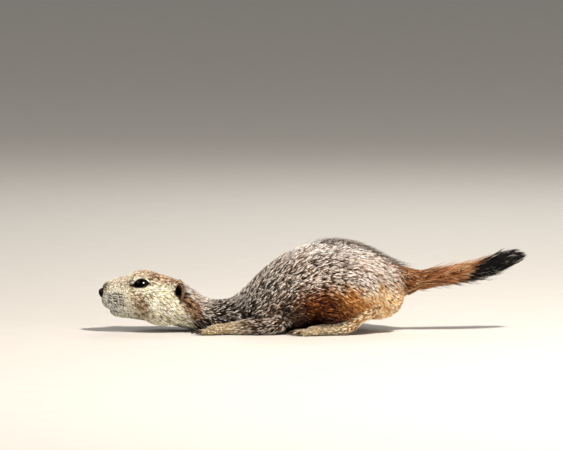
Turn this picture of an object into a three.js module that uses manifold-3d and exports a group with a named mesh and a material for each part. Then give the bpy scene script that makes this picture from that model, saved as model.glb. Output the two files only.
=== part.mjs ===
// A black-tailed prairie dog at life size, crouching low on a flat floor: chin held just off
// the floor, throat and chest laid down, back arched over the haunches and tail straight out.
// Millimetres, +Z up, nose towards -X, the animal's left side towards -Y, floor at z = 0.

import * as THREE from "three";
import { mergeVertices } from "three/addons/utils/BufferGeometryUtils.js";
import Module from "manifold-3d";

const wasm = await Module();
wasm.setup();

// The gap that two nodes keep where they meet, the reach of a cutting block, and the height
// about which a cut across the body leans
const GAP = 0.35;
const FAR = 400;
const LEAN_Z = 20;

// The body's outline at stations along it: x, the height of the back, of the belly and of the
// widest place, and half the width there
const NOSE_X = -166.5;
const SNOUT_ROUNDING = 7;
const SNOUT_X = NOSE_X + 2;
const STATIONS = [
  { x: SNOUT_X + SNOUT_ROUNDING, top: 39.2, low: 17.8, wide: 27, half: 9.8 },
  { x: -152, top: 41.9, low: 13.4, wide: 25, half: 12.8 },
  { x: -143, top: 44.1, low: 10, wide: 24.5, half: 16.2 },
  { x: -136, top: 46.6, low: 8.8, wide: 25, half: 18.8 },
  { x: -129.5, top: 47.6, low: 7.8, wide: 25, half: 20.8 },
  { x: -120, top: 44.8, low: 6.4, wide: 23, half: 22.2 },
  { x: -110, top: 41.6, low: 4.4, wide: 21, half: 22.8 },
  { x: -100, top: 37.2, low: 2, wide: 18, half: 22.6 },
  { x: -91, top: 30.6, low: 0, wide: 15, half: 22.6 },
  { x: -81, top: 25.6, low: -1, wide: 12.5, half: 23.2 },
  { x: -71, top: 25.1, low: -1, wide: 12, half: 24.8 },
  { x: -61, top: 27.4, low: -1, wide: 13.5, half: 27.4 },
  { x: -51, top: 35.4, low: -1, wide: 16, half: 31 },
  { x: -41, top: 45.8, low: -1, wide: 19, half: 35 },
  { x: -29, top: 55.9, low: -1, wide: 22.5, half: 39.4 },
  { x: -14, top: 66.1, low: 0.5, wide: 26, half: 44 },
  { x: 1, top: 71.4, low: 2.5, wide: 28, half: 47 },
  { x: 17, top: 73.4, low: 5, wide: 30, half: 47.5 },
  { x: 33, top: 71, low: 7, wide: 31, half: 44.5 },
  { x: 46, top: 65.6, low: 9, wide: 33, half: 38.5 },
  { x: 58, top: 57.9, low: 12, wide: 35, half: 30 },
  { x: 66, top: 52, low: 18, wide: 37, half: 22 },
  { x: 71, top: 47.6, low: 28, wide: 38, half: 13 },
];

// Where the head and the tail leave the straight line of the back, and how far they end beside it
const HEAD_TURN = { from: -92, to: NOSE_X, aside: -4 };
const TAIL_TURN = { from: 74, to: 166.5, aside: 6 };

// Muscle and bone under the skin, given on one side: centre, radii and pitch of an egg shape,
// or two ends with a radius each, and the width of the blend into the body
const EYE = { at: [-134.2, 11.6, 38.8], radius: 6.6 };
const EGGS = {
  whiskerPad: { at: [-153.5, 5.8, 23.5], radii: [8.5, 5.6, 6], pitch: 0, soft: 5 },
  chin: { at: [-150, 0, 15.4], radii: [8, 7, 4.5], pitch: 0, soft: 4 },
  cheek: { at: [-116, 14.5, 17.5], radii: [17, 9.5, 12], pitch: 0.1, soft: 7 },
  brow: { at: [-131.5, 10.5, 42.4], radii: [10, 5, 3.6], pitch: 0, soft: 4 },
  eyeSocket: { at: EYE.at, radii: [8.1, 7.7, 7.3], pitch: 0, soft: 2.5 },
  shoulderBlade: { at: [-33, 23.5, 25], radii: [16, 13, 19], pitch: -0.4, soft: 9 },
  haunch: { at: [29, 31, 34], radii: [30, 18.5, 21], pitch: 0.35, soft: 9 },
  buttock: { at: [52.5, 15, 28.5], radii: [19, 17, 18.5], pitch: 0, soft: 7 },
};
const LIMBS = {
  upperArm: { from: [-42, 27, 20], to: [-35, 33, 11], radii: [11, 8.5], soft: 6 },
  shank: { from: [13, 39, 17.5], to: [35, 34.5, 19.5], radii: [10.5, 6], soft: 5 },
};

// The eye's opening between the lids: half its length, the height of each lid's arch over the
// middle of the eye, where along it the upper one is highest, and how deep it is cut
const LIDS = { half: 6.1, up: 3.4, down: 2.9, peak: 0.6, reach: 20 };

// Ear: a low cup that opens outwards and forwards
const EAR = {
  at: [-104, 18, 31.9], radii: [4.6, 3.7, 7.3],
  hollow: { by: [-1.3, 3, -0.2], radii: [4, 4.6, 5.9] },
};

// Nose, with its nostrils, the split below it, and the mouth on one side from the middle of the
// lips to the corner
const NOSE = { at: [-161.9, 0, 30.4], radii: [4.8, 5.6, 4.7] };
const NOSTRIL = { at: [-166, 2.7, 30], radii: [1.6, 1.1, 1.5] };
const SPLIT = [[-168, 0, 26.5], [-166.6, 0, 24], [-165.4, 0, 21.6], [-164, 0, 19]];
const MOUTH = [
  [-164.6, 0, 20], [-164, 2, 19.5], [-162, 4.6, 18.3], [-158.5, 8, 16.8], [-153.5, 11.2, 15.2],
  [-148.5, 13.5, 15],
];
const LIP = { groove: 0.85, ridge: 1.1, below: 0.9, back: 0.9 };

// Forearm, and the paws: where the pad lies and how large it is, the toes' spread across and
// their lengths, and the claws
const FOREARM = { from: [-36, 34.5, 7], to: [-66, 34.4, 4.6], radii: [7.6, 4.9] };
const PAWS = {
  fore: {
    bones: [[-64, 34.4, 4.6], [-73, 34, 4.3]], boneRadii: [4.9, 5.4],
    pad: { at: [-73, 34, 4.3], radii: [8.6, 6.8, 4.8] },
    toeRoot: -77, spread: [-5.4, -1.9, 1.9, 5.2], toes: [9, 12, 11.5, 8.5],
    toeRadius: 2.1, claw: 6.5, clawRadius: 1.15,
  },
  hind: {
    bones: [[37, 35.5, 14.8], [31, 36.4, 9.2], [24, 37.6, 4.8], [8, 39, 4.2]],
    boneRadii: [4.3, 4.5, 4.9, 5.2],
    pad: { at: [7, 39, 4.3], radii: [11, 7.6, 4.8] },
    toeRoot: 2, spread: [-6.6, -3.4, 0, 3.4, 6.4], toes: [9.5, 16, 18, 16.5, 11],
    toeRadius: 2.3, claw: 5.5, clawRadius: 1.2,
  },
};

// The tail's middle line and the radius of its core: skin and dense underhair
const TAIL = [
  { at: [66, 0, 38.6], radius: 10.4 },
  { at: [86, 0, 40.2], radius: 6.8 },
  { at: [104, 0, 43.2], radius: 5.4 },
  { at: [120, 0, 45.9], radius: 4.9 },
  { at: [136, 0, 49.6], radius: 4.2 },
  { at: [151, 0, 55], radius: 3 },
];

// The brush: locks in rings from the root of the tail to its end, the outline that their tips
// reach (place along the tail, height of its middle, and radius upwards and sideways)
const BRUSH = { from: 86, to: 153, rings: 7, around: 7, length: 24, half: 3.4, flat: 0.32 };
const BRUSH_OUTLINE = [
  { x: 84, z: 39.9, up: 8, wide: 9 },
  { x: 100, z: 42.4, up: 7.6, wide: 9.2 },
  { x: 118, z: 45.2, up: 8.3, wide: 10.4 },
  { x: 134, z: 48.4, up: 8.5, wide: 10.8 },
  { x: 146, z: 52.9, up: 8, wide: 9.6 },
  { x: 156, z: 56.7, up: 6, wide: 7 },
  { x: 162, z: 58.5, up: 3.8, wide: 4 },
  { x: 166.5, z: 59, up: 1, wide: 1.2 },
];

// Distance from a point to each kind of form, negative inside it

const mix = THREE.MathUtils.lerp;
const clamp = THREE.MathUtils.clamp;

// Joins two distances with a fillet about `soft` wide
function blend(a, b, soft) {
  const h = Math.max(soft - Math.abs(a - b), 0) / soft;
  return Math.min(a, b) - (h * h * soft) / 4;
}

function eggDistance(dx, dy, dz, [rx, ry, rz], pitch) {
  const c = Math.cos(pitch);
  const s = Math.sin(pitch);
  const u = c * dx + s * dz;
  const w = -s * dx + c * dz;
  const k0 = Math.hypot(u / rx, dy / ry, w / rz);
  const k1 = Math.hypot(u / (rx * rx), dy / (ry * ry), w / (rz * rz));
  return k1 < 1e-9 ? -Math.min(rx, ry, rz) : (k0 * (k0 - 1)) / k1;
}

function limbDistance(x, y, z, from, to, [ra, rb]) {
  const [ax, ay, az] = from;
  const [bx, by, bz] = [to[0] - ax, to[1] - ay, to[2] - az];
  const t = clamp(
    ((x - ax) * bx + (y - ay) * by + (z - az) * bz) / (bx * bx + by * by + bz * bz), 0, 1);
  return Math.hypot(x - ax - t * bx, y - ay - t * by, z - az - t * bz) - mix(ra, rb, t);
}

// A size read off a table at x, on a smooth curve through its rows (cubic Hermite, with each
// slope taken from the rows on both sides)
function valueAt(rows, x, key) {
  const last = rows.length - 1;
  let i = 0;
  while (i < last - 1 && rows[i + 1].x < x) i++;
  const slope = (j) => {
    const [a, b] = [rows[Math.max(j - 1, 0)], rows[Math.min(j + 1, last)]];
    return (b[key] - a[key]) / (b.x - a.x);
  };
  const [a, b] = [rows[i], rows[i + 1]];
  const span = b.x - a.x;
  const t = clamp((x - a.x) / span, 0, 1);
  const [t2, t3] = [t * t, t * t * t];
  return (2 * t3 - 3 * t2 + 1) * a[key] + (t3 - 2 * t2 + t) * span * slope(i)
    + (3 * t2 - 2 * t3) * b[key] + (t3 - t2) * span * slope(i + 1);
}

// Head, neck and torso as one form: at every x the section is two half ellipses that meet at
// the widest height, and its ends are rounded
function barrelDistance(x, y, z) {
  const r = SNOUT_ROUNDING;
  const at = clamp(x, STATIONS[0].x, STATIONS[STATIONS.length - 1].x);
  const wide = valueAt(STATIONS, at, "wide");
  const half = valueAt(STATIONS, at, "half") - r;
  const end = valueAt(STATIONS, at, z > wide ? "top" : "low");
  const height = Math.abs(end - wide) - r;
  const [dy, dz] = [Math.abs(y), z - wide];
  const k0 = Math.hypot(dy / half, dz / height);
  const k1 = Math.hypot(dy / (half * half), dz / (height * height));
  const across = k1 < 1e-9 ? -Math.min(half, height) : (k0 * (k0 - 1)) / k1;
  const beyond = Math.abs(x - at);
  return (beyond > 0 ? Math.hypot(beyond, Math.max(across, 0)) : across) - r;
}

// How far the middle of the body lies beside y = 0
function aside(x) {
  const turned = ({ from, to, aside: end }) => {
    const t = Math.max((x - from) / (to - from), 0);
    return end * t * t;
  };
  return turned(HEAD_TURN) + turned(TAIL_TURN);
}

function tailDistance(x, y, z) {
  let d = Infinity;
  for (let i = 1; i < TAIL.length; i++) {
    const [a, b] = [TAIL[i - 1], TAIL[i]];
    d = Math.min(d, limbDistance(x, y, z, a.at, b.at, [a.radius, b.radius]));
  }
  return d;
}

// The whole animal without ears, eyes and feet
function bodyDistance(x, y, z) {
  const side = Math.abs(y - aside(x));
  let d = barrelDistance(x, side, z);
  for (const egg of Object.values(EGGS)) {
    const [cx, cy, cz] = egg.at;
    d = blend(d, eggDistance(x - cx, side - cy, z - cz, egg.radii, egg.pitch), egg.soft);
  }
  for (const limb of Object.values(LIMBS))
    d = blend(d, limbDistance(x, side, z, limb.from, limb.to, limb.radii), limb.soft);
  return blend(d, tailDistance(x, side, z), 8);
}

// Meshes and solids

function gradientOf(distance, x, y, z) {
  const e = 0.05;
  const g = new THREE.Vector3(
    distance(x + e, y, z) - distance(x - e, y, z),
    distance(x, y + e, z) - distance(x, y - e, z),
    distance(x, y, z + e) - distance(x, y, z - e));
  return g.multiplyScalar(0.5 / e);
}

// The edges of a cell that the surface crosses, sorted into the loops in which it passes through:
// two crossings on one side of the cell belong together, and where a side has four, the two that
// share an inner corner do. Gives for each edge its loop, or -1.
function loopsOf(inside) {
  const corner = (i, axis) => (i >> axis) & 1;
  const crossed = (axis, side) => {
    const low = ((side & 1) << ((axis + 1) % 3)) | ((side >> 1) << ((axis + 2) % 3));
    return inside[low] !== inside[low | (1 << axis)];
  };
  const loop = Array.from({ length: 12 }, (_, e) => (crossed(e >> 2, e & 3) ? e : -1));
  const unite = (a, b) => {
    const [from, to] = [loop[a], loop[b]];
    loop.forEach((own, e) => {
      if (own === from) loop[e] = to;
    });
  };
  const edgeAt = (axis, i) => axis * 4 + corner(i, (axis + 1) % 3) + 2 * corner(i, (axis + 2) % 3);
  for (let face = 0; face < 3; face++)
    for (let high = 0; high < 2; high++) {
      const [u, v] = [(face + 1) % 3, (face + 2) % 3];
      const corners = [0, 1, 2, 3].map((m) => (high << face) | ((m & 1) << u) | ((m >> 1) << v));
      const edges = [...new Set(corners.flatMap((i) => [edgeAt(u, i), edgeAt(v, i)]))];
      const cut = edges.filter((e) => loop[e] >= 0);
      if (cut.length === 2) unite(cut[0], cut[1]);
      if (cut.length === 4)
        corners.filter((i) => inside[i]).forEach((i) => unite(edgeAt(u, i), edgeAt(v, i)));
    }
  return loop;
}

// The surface where a distance is zero, as a net of quads: a corner for each loop in a cell of a
// grid, drawn on to the surface, and a quad across every grid edge that crosses it. With `grown`
// the surface is moved out by that much.
function netOf(distance, low, high, cell, grown = 0) {
  const first = low.map((v) => Math.floor(v / cell));
  const n = high.map((v, i) => Math.ceil(v / cell) - first[i] + 1);
  const place = (i, axis) => (first[axis] + i) * cell;
  const values = new Float32Array(n[0] * n[1] * n[2]);
  const at = (i, j, k) => (i * n[1] + j) * n[2] + k;
  for (let i = 0; i < n[0]; i++)
    for (let j = 0; j < n[1]; j++)
      for (let k = 0; k < n[2]; k++) {
        const rim = !i || !j || !k || i === n[0] - 1 || j === n[1] - 1 || k === n[2] - 1;
        values[at(i, j, k)] = rim ? cell : distance(place(i, 0), place(j, 1), place(k, 2));
      }
  const positions = [];
  const cells = new Map();
  const cellOf = (i, j, k) => {
    const key = at(i, j, k);
    if (cells.has(key)) return cells.get(key);
    const inside = Array.from({ length: 8 }, (_, c) =>
      values[at(i + (c & 1), j + ((c >> 1) & 1), k + (c >> 2))] < 0);
    const loop = loopsOf(inside);
    const made = new Map();
    for (const name of new Set(loop)) {
      if (name < 0) continue;
      const sum = new THREE.Vector3();
      let crossings = 0;
      loop.forEach((own, e) => {
        if (own !== name) return;
        const axis = e >> 2;
        const a = [i, j, k];
        a[(axis + 1) % 3] += e & 1;
        a[(axis + 2) % 3] += (e >> 1) & 1;
        const b = [...a];
        b[axis] += 1;
        const [va, vb] = [values[at(...a)], values[at(...b)]];
        const point = new THREE.Vector3(...a.map((v, m) => place(v, m)));
        point.setComponent(axis, point.getComponent(axis) + (cell * va) / (va - vb));
        sum.add(point);
        crossings++;
      });
      sum.divideScalar(crossings);
      for (let pass = 0; pass < 2; pass++) {
        const d = distance(sum.x, sum.y, sum.z);
        const g = gradientOf(distance, sum.x, sum.y, sum.z);
        if (Math.abs(d) < cell / 2 && g.length() > 0.3)
          sum.addScaledVector(g, -d / g.lengthSq());
      }
      if (grown)
        sum.addScaledVector(gradientOf(distance, sum.x, sum.y, sum.z).normalize(), grown);
      made.set(name, positions.length / 3);
      positions.push(sum.x, sum.y, sum.z);
    }
    cells.set(key, (edge) => made.get(loop[edge]));
    return cells.get(key);
  };
  const triangles = [];
  for (let i = 0; i < n[0]; i++)
    for (let j = 0; j < n[1]; j++)
      for (let k = 0; k < n[2]; k++)
        for (let axis = 0; axis < 3; axis++) {
          const b = [i, j, k];
          const [u, v] = [(axis + 1) % 3, (axis + 2) % 3];
          if (b[axis] + 1 >= n[axis] || !b[u] || !b[v]) continue;
          b[axis] += 1;
          const inside = values[at(i, j, k)] < 0;
          if (inside === values[at(...b)] < 0) continue;
          const quad = [[0, 0], [1, 0], [1, 1], [0, 1]].map(([du, dv]) => {
            const c = [i, j, k];
            c[u] -= du;
            c[v] -= dv;
            return cellOf(...c)(axis * 4 + du + 2 * dv);
          });
          if (!inside) quad.reverse();
          triangles.push(quad[0], quad[1], quad[2], quad[0], quad[2], quad[3]);
        }
  const geometry = new THREE.BufferGeometry();
  geometry.setAttribute("position", new THREE.Float32BufferAttribute(positions, 3));
  geometry.setIndex(triangles);
  return geometry;
}

// A closed tube through points with a radius at each, with a point at both ends; `flat` makes
// it that much thinner along `thin`
function tubeGeometry(points, radii, sides, flat = 1, thin = new THREE.Vector3(0, 0, 1)) {
  const last = points.length - 1;
  const positions = [points[0].x, points[0].y, points[0].z];
  for (let i = 1; i < last; i++) {
    const along = points[i + 1].clone().sub(points[i - 1]).normalize();
    const across = new THREE.Vector3().crossVectors(thin, along).normalize();
    const up = new THREE.Vector3().crossVectors(along, across);
    for (let s = 0; s < sides; s++) {
      const angle = (2 * Math.PI * s) / sides;
      const p = points[i].clone()
        .addScaledVector(across, radii[i] * Math.cos(angle))
        .addScaledVector(up, radii[i] * flat * Math.sin(angle));
      positions.push(p.x, p.y, p.z);
    }
  }
  positions.push(points[last].x, points[last].y, points[last].z);
  const ring = (i, s) => 1 + (i - 1) * sides + (s % sides);
  const tip = 1 + (last - 1) * sides;
  const triangles = [];
  for (let s = 0; s < sides; s++) {
    triangles.push(0, ring(1, s + 1), ring(1, s));
    for (let i = 1; i < last - 1; i++) {
      triangles.push(ring(i, s), ring(i, s + 1), ring(i + 1, s + 1));
      triangles.push(ring(i, s), ring(i + 1, s + 1), ring(i + 1, s));
    }
    triangles.push(tip, ring(last - 1, s), ring(last - 1, s + 1));
  }
  const geometry = new THREE.BufferGeometry();
  geometry.setAttribute("position", new THREE.Float32BufferAttribute(positions, 3));
  geometry.setIndex(triangles);
  return geometry;
}

function eggGeometry([x, y, z], [rx, ry, rz], around, down) {
  const geometry = new THREE.SphereGeometry(1, around, down);
  geometry.scale(rx, ry, rz);
  geometry.translate(x, y, z);
  return geometry;
}

function solidOf(geometry) {
  const bare = geometry.clone();
  bare.deleteAttribute("normal");
  bare.deleteAttribute("uv");
  const merged = mergeVertices(bare, 1e-4);
  return new wasm.Manifold(new wasm.Mesh({
    numProp: 3,
    vertProperties: merged.attributes.position.array,
    triVerts: new Uint32Array(merged.index.array),
  }));
}

function largestOf(solid) {
  return solid.decompose().reduce((a, b) => (a.volume() > b.volume() ? a : b));
}

function joined(solids) {
  return solids.reduce((a, b) => a.add(b));
}

// Everything on one side of a plane that stands across the body at x and leans by `lean`
function sideOf({ x, lean }, sign) {
  const block = new THREE.BoxGeometry(FAR, FAR, FAR);
  block.translate((sign * (FAR + GAP)) / 2, 0, 0);
  block.rotateY(lean);
  block.translate(x, 0, LEAN_Z);
  return solidOf(block);
}

const aboveFloor = solidOf(new THREE.BoxGeometry(FAR, FAR, FAR).translate(0, 0, FAR / 2));

// A place given for one side, on the left (side -1) or right (side 1) of the turned body
function onSide([x, y, z], side) {
  return [x, side * y + aside(x), z];
}

// The far side's limbs are set a little ahead of the near side's
const AHEAD = { fore: { [-1]: 0, [1]: 4 }, hind: { [-1]: 0, [1]: 5 } };

// Node limits: planes across the body, and the egg that marks off each leg
const HEAD_CUT = { x: -97, lean: 0.35 };
const NECK_CUT = { x: -62, lean: -0.35 };
const TAIL_CUT = { x: 82, lean: 0.15 };
const THIGH_CUT = { at: [37, 46, 26], radii: [42, 24, 30] };

const TORSO_CELL = 6.15;
const NECK_CELL = 5.5;
const HEAD_CELL = 3.55;
const TAIL_CELL = 4;
const FOREARM_CELL = 4;

const nodes = new Map();

// Torso and thighs

const TORSO_BOX = [[-80, -60, -5], [100, 60, 85]];
const trunk = solidOf(netOf(bodyDistance, ...TORSO_BOX, TORSO_CELL));
const clearOfTrunk = solidOf(netOf(bodyDistance, ...TORSO_BOX, TORSO_CELL, GAP));
let torso = trunk.intersect(aboveFloor)
  .intersect(sideOf(NECK_CUT, 1))
  .intersect(sideOf(TAIL_CUT, -1));
for (const [side, name] of [[-1, "left"], [1, "right"]]) {
  const cutter = (grown) => solidOf(eggGeometry(
    onSide(THIGH_CUT.at, side), THIGH_CUT.radii.map((r) => r + grown), 24, 16));
  nodes.set(`thigh_${name}`, { solid: torso.intersect(cutter(0)), colour: 0xb07a42 });
  torso = torso.subtract(cutter(GAP));
}
nodes.set("torso", { solid: torso, colour: 0x8a7a66 });

// Neck

const NECK_BOX = [[-115, -34, -5], [-45, 34, 60]];
const neckForm = solidOf(netOf(bodyDistance, ...NECK_BOX, NECK_CELL));
const clearOfBody = solidOf(netOf(bodyDistance, ...NECK_BOX, NECK_CELL, GAP)).add(clearOfTrunk);
nodes.set("neck", {
  solid: neckForm.intersect(aboveFloor)
    .intersect(sideOf(HEAD_CUT, 1))
    .intersect(sideOf(NECK_CUT, -1)),
  colour: 0x8f8070,
});

// Forelegs and paws: forearms laid on the floor beside the chest, paws flat, claws forwards

// A claw or toe that starts inside what it grows from, arches up a little and comes down
function toeSolid([x, y, z], length, radius, turn, sides) {
  const points = [];
  const radii = [];
  const rows = [[-0.35, 0, 0], [-0.1, 0.14, 0.95], [0.5, 0.1, 1], [0.9, -0.08, 0.7], [1, -0.2, 0]];
  for (const [along, rise, thick] of rows) {
    points.push(new THREE.Vector3(
      x - along * length, y + turn * Math.max(along, 0) * length, z + rise * radius * 2));
    radii.push(radius * thick);
  }
  return solidOf(tubeGeometry(points, radii, sides));
}

function clawSolid([x, y, z], length, radius, turn) {
  const rows = [[-0.4, 0.3, 0], [-0.1, 0.4, 1], [0.55, 0.2, 0.7], [1, -0.55, 0]];
  const points = rows.map(([along, rise]) => new THREE.Vector3(
    x - along * length, y + turn * along * length, z + rise * radius * 2));
  return solidOf(tubeGeometry(points, rows.map(([, , thick]) => radius * thick), 4));
}

function pawSolid(paw, side, ahead) {
  const place = ([x, y, z]) => onSide([x - ahead, y, z], side);
  const pieces = [solidOf(eggGeometry(place(paw.pad.at), paw.pad.radii, 10, 6))];
  const bones = paw.bones.map((p) => new THREE.Vector3(...place(p)));
  const first = bones[0].clone().lerp(bones[1], -0.5 * paw.boneRadii[0] / bones[0].distanceTo(bones[1]));
  const last = bones[bones.length - 1];
  const beyond = last.clone().add(new THREE.Vector3(-paw.boneRadii[0], 0, 0));
  pieces.push(solidOf(tubeGeometry(
    [first, ...bones, beyond], [0, ...paw.boneRadii, 0], 8)));
  paw.toes.forEach((length, i) => {
    const across = paw.spread[i];
    const turn = (side * across) / 45;
    const root = place([paw.toeRoot, paw.pad.at[1] + across, paw.toeRadius + 0.2]);
    pieces.push(toeSolid(root, length, paw.toeRadius, turn, 5));
    const tip = [root[0] - length * 0.93, root[1] + turn * length * 0.93, root[2]];
    pieces.push(clawSolid(tip, paw.claw, paw.clawRadius, turn));
  });
  return joined(pieces).intersect(aboveFloor);
}

for (const [side, name] of [[-1, "left"], [1, "right"]]) {
  const ahead = AHEAD.fore[side];
  const [elbow, wrist] = [FOREARM.from, FOREARM.to].map(([x, y, z]) => onSide([x - ahead, y, z], side));
  const forearm = (x, y, z) => limbDistance(x, y, z, elbow, wrist, FOREARM.radii);
  const box = [[-90, side * 35 - 14, -5], [-20, side * 35 + 14, 24]];
  const wristCut = { x: wrist[0] + 1, lean: 0 };
  nodes.set(`foreleg_${name}`, {
    solid: solidOf(netOf(forearm, ...box, FOREARM_CELL)).intersect(aboveFloor)
      .intersect(sideOf(wristCut, 1))
      .subtract(clearOfBody),
    colour: 0xb59a72,
  });
  nodes.set(`forepaw_${name}`, {
    solid: pawSolid(PAWS.fore, side, ahead).intersect(sideOf(wristCut, -1)).subtract(clearOfBody),
    colour: 0xcdb48a,
  });
  nodes.set(`hindfoot_${name}`, {
    solid: pawSolid(PAWS.hind, side, AHEAD.hind[side]).subtract(clearOfBody),
    colour: 0xd8bf94,
  });
}

// Head with lids, mouth and lips; ears, eyes and nose set in it

const headForm = solidOf(netOf(bodyDistance, [-175, -34, -5], [-82, 34, 60], HEAD_CELL));
let head = headForm.intersect(aboveFloor).intersect(sideOf(HEAD_CUT, -1));

// A point of the mouth line drawn on to the skin, then moved down and back
function onMouth(place, side, below, back) {
  const p = new THREE.Vector3(...onSide(place, side));
  for (let pass = 0; pass < 6; pass++) {
    const g = gradientOf(bodyDistance, p.x, p.y, p.z);
    p.addScaledVector(g, -bodyDistance(p.x, p.y, p.z) / g.lengthSq());
  }
  p.z -= below;
  p.x += back;
  return p;
}

// A thin roll along a line on the face: full in the middle, running out at both ends
function roll(points, radius, sides, thin) {
  const last = points.length - 1;
  const radii = points.map((_, i) => radius * Math.sqrt(Math.max(Math.sin((Math.PI * i) / last), 0)));
  return solidOf(tubeGeometry(points, radii, sides, 1, thin));
}

// The whole mouth line, from the left corner round the front to the right one
function mouthLine(below, back) {
  const left = MOUTH.slice(1).reverse().map((place) => onMouth(place, -1, below, back));
  return [...left, ...MOUTH.map((place) => onMouth(place, 1, below, back))];
}

const split = SPLIT.map((place) => onMouth(place, 1, 0, 0));
head = head.add(roll(mouthLine(LIP.below, LIP.back), LIP.ridge, 6))
  .subtract(roll(mouthLine(0, 0), LIP.groove, 4))
  .subtract(roll(split, LIP.groove, 4, new THREE.Vector3(1, 0, 0)));

// The opening between the lids, as a block that reaches from the middle of the eye outwards
function lidOpening(place, side) {
  const shape = new THREE.Shape();
  shape.moveTo(-LIDS.half, -0.7);
  shape.bezierCurveTo(-LIDS.half + 2, LIDS.up * 0.7, -LIDS.peak - 2, LIDS.up, LIDS.peak, LIDS.up);
  shape.bezierCurveTo(LIDS.half - 2.5, LIDS.up, LIDS.half - 0.8, 1.4, LIDS.half, -0.3);
  shape.bezierCurveTo(LIDS.half - 2.4, -LIDS.down, -LIDS.half + 4, -LIDS.down, -LIDS.half, -0.7);
  const geometry = new THREE.ExtrudeGeometry(shape, {
    depth: LIDS.reach, bevelEnabled: false, curveSegments: 4,
  });
  geometry.rotateX(Math.PI / 2);
  if (side > 0) geometry.translate(0, LIDS.reach, 0);
  geometry.translate(...place);
  return solidOf(geometry);
}

for (const [side, name] of [[-1, "left"], [1, "right"]]) {
  const eyePlace = onSide(EYE.at, side);
  const ball = (grown) => solidOf(eggGeometry(eyePlace, [1, 1, 1].map(() => EYE.radius + grown), 12, 9));
  nodes.set(`eye_${name}`, { solid: ball(0), colour: 0x120d0a, roughness: 0.08 });
  head = head.subtract(ball(GAP)).subtract(lidOpening(eyePlace, side));

  const earPlace = onSide(EAR.at, side);
  const cup = (grown) => solidOf(eggGeometry(earPlace, EAR.radii.map((r) => r + grown), 12, 8));
  const [hx, hy, hz] = EAR.hollow.by;
  const hollow = solidOf(eggGeometry(
    [earPlace[0] + hx, earPlace[1] + side * hy, earPlace[2] + hz], EAR.hollow.radii, 10, 7));
  nodes.set(`ear_${name}`, { solid: cup(0).subtract(hollow), colour: 0x9c6f45 });
  head = head.subtract(cup(GAP)).subtract(hollow);
}

const nosePlace = onSide(NOSE.at, 1);
const nosePad = (grown) => solidOf(eggGeometry(nosePlace, NOSE.radii.map((r) => r + grown), 10, 7));
let nose = nosePad(0);
for (const side of [-1, 1])
  nose = nose.subtract(solidOf(eggGeometry(onSide(NOSTRIL.at, side), NOSTRIL.radii, 6, 4)));
head = head.subtract(nosePad(GAP));
nodes.set("nose", { solid: nose, colour: 0x2a211d });
nodes.set("head", { solid: head, colour: 0xc9b183 });

// Tail: a core, and its brush of flat tapered locks that lie back along it and overlap

let seed = 7;
function draw(low, high) {
  seed = (seed * 16807) % 2147483647;
  return low + ((high - low) * seed) / 2147483647;
}

// A place in the brush: x along the tail, angle round it, and the share of the way from its
// middle to the outline
function brushPoint(x, angle, share) {
  const at = Math.min(x, -NOSE_X);
  const up = valueAt(BRUSH_OUTLINE, at, "up");
  const wide = valueAt(BRUSH_OUTLINE, at, "wide");
  return new THREE.Vector3(
    at,
    aside(at) + share * wide * Math.cos(angle),
    valueAt(BRUSH_OUTLINE, at, "z") + share * up * Math.sin(angle));
}

const tailForm = solidOf(netOf(bodyDistance, [60, -30, 10], [175, 30, 75], TAIL_CELL));
const locks = [];
for (let ring = 0; ring < BRUSH.rings; ring++) {
  const start = mix(BRUSH.from, BRUSH.to, ring / (BRUSH.rings - 1));
  for (let i = 0; i < BRUSH.around; i++) {
    const angle = (2 * Math.PI * (i + 0.5 * (ring % 2) + draw(-0.2, 0.2))) / BRUSH.around;
    const sway = draw(-0.25, 0.25);
    const length = Math.min(BRUSH.length * draw(0.85, 1.15), -NOSE_X - start);
    const rows = [[0, 0.35, 0], [0.18, 0.6, 0.85], [0.5, 0.86, 1], [0.8, 0.96, 0.66], [1, 1, 0]];
    const points = rows.map(([along, share]) =>
      brushPoint(start + along * length, angle + sway * along * along, share));
    const middle = brushPoint(start + length / 2, 0, 0);
    const out = brushPoint(start + length / 2, angle, 1).sub(middle).normalize();
    const taper = mix(1, 0.6, ring / BRUSH.rings);
    locks.push(solidOf(tubeGeometry(
      points, rows.map(([, , thick]) => BRUSH.half * taper * thick), 4, BRUSH.flat, out)));
  }
}
nodes.set("tail", {
  solid: joined([tailForm.intersect(sideOf(TAIL_CUT, 1)), ...locks]).intersect(sideOf(TAIL_CUT, 1)),
  colour: 0xa9673a,
});

// The group

function meshOf(name, { solid, colour, roughness = 0.9 }) {
  const made = largestOf(solid).getMesh();
  const geometry = new THREE.BufferGeometry();
  geometry.setAttribute("position", new THREE.BufferAttribute(made.vertProperties, 3));
  geometry.setIndex(new THREE.BufferAttribute(made.triVerts, 1));
  const mesh = new THREE.Mesh(geometry, new THREE.MeshStandardMaterial({
    color: colour, roughness, metalness: 0,
  }));
  mesh.name = name;
  return mesh;
}

const prairieDog = new THREE.Group();
prairieDog.name = "prairie_dog";
for (const [name, node] of nodes) prairieDog.add(meshOf(name, node));

export default prairieDog;
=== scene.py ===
import math

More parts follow.
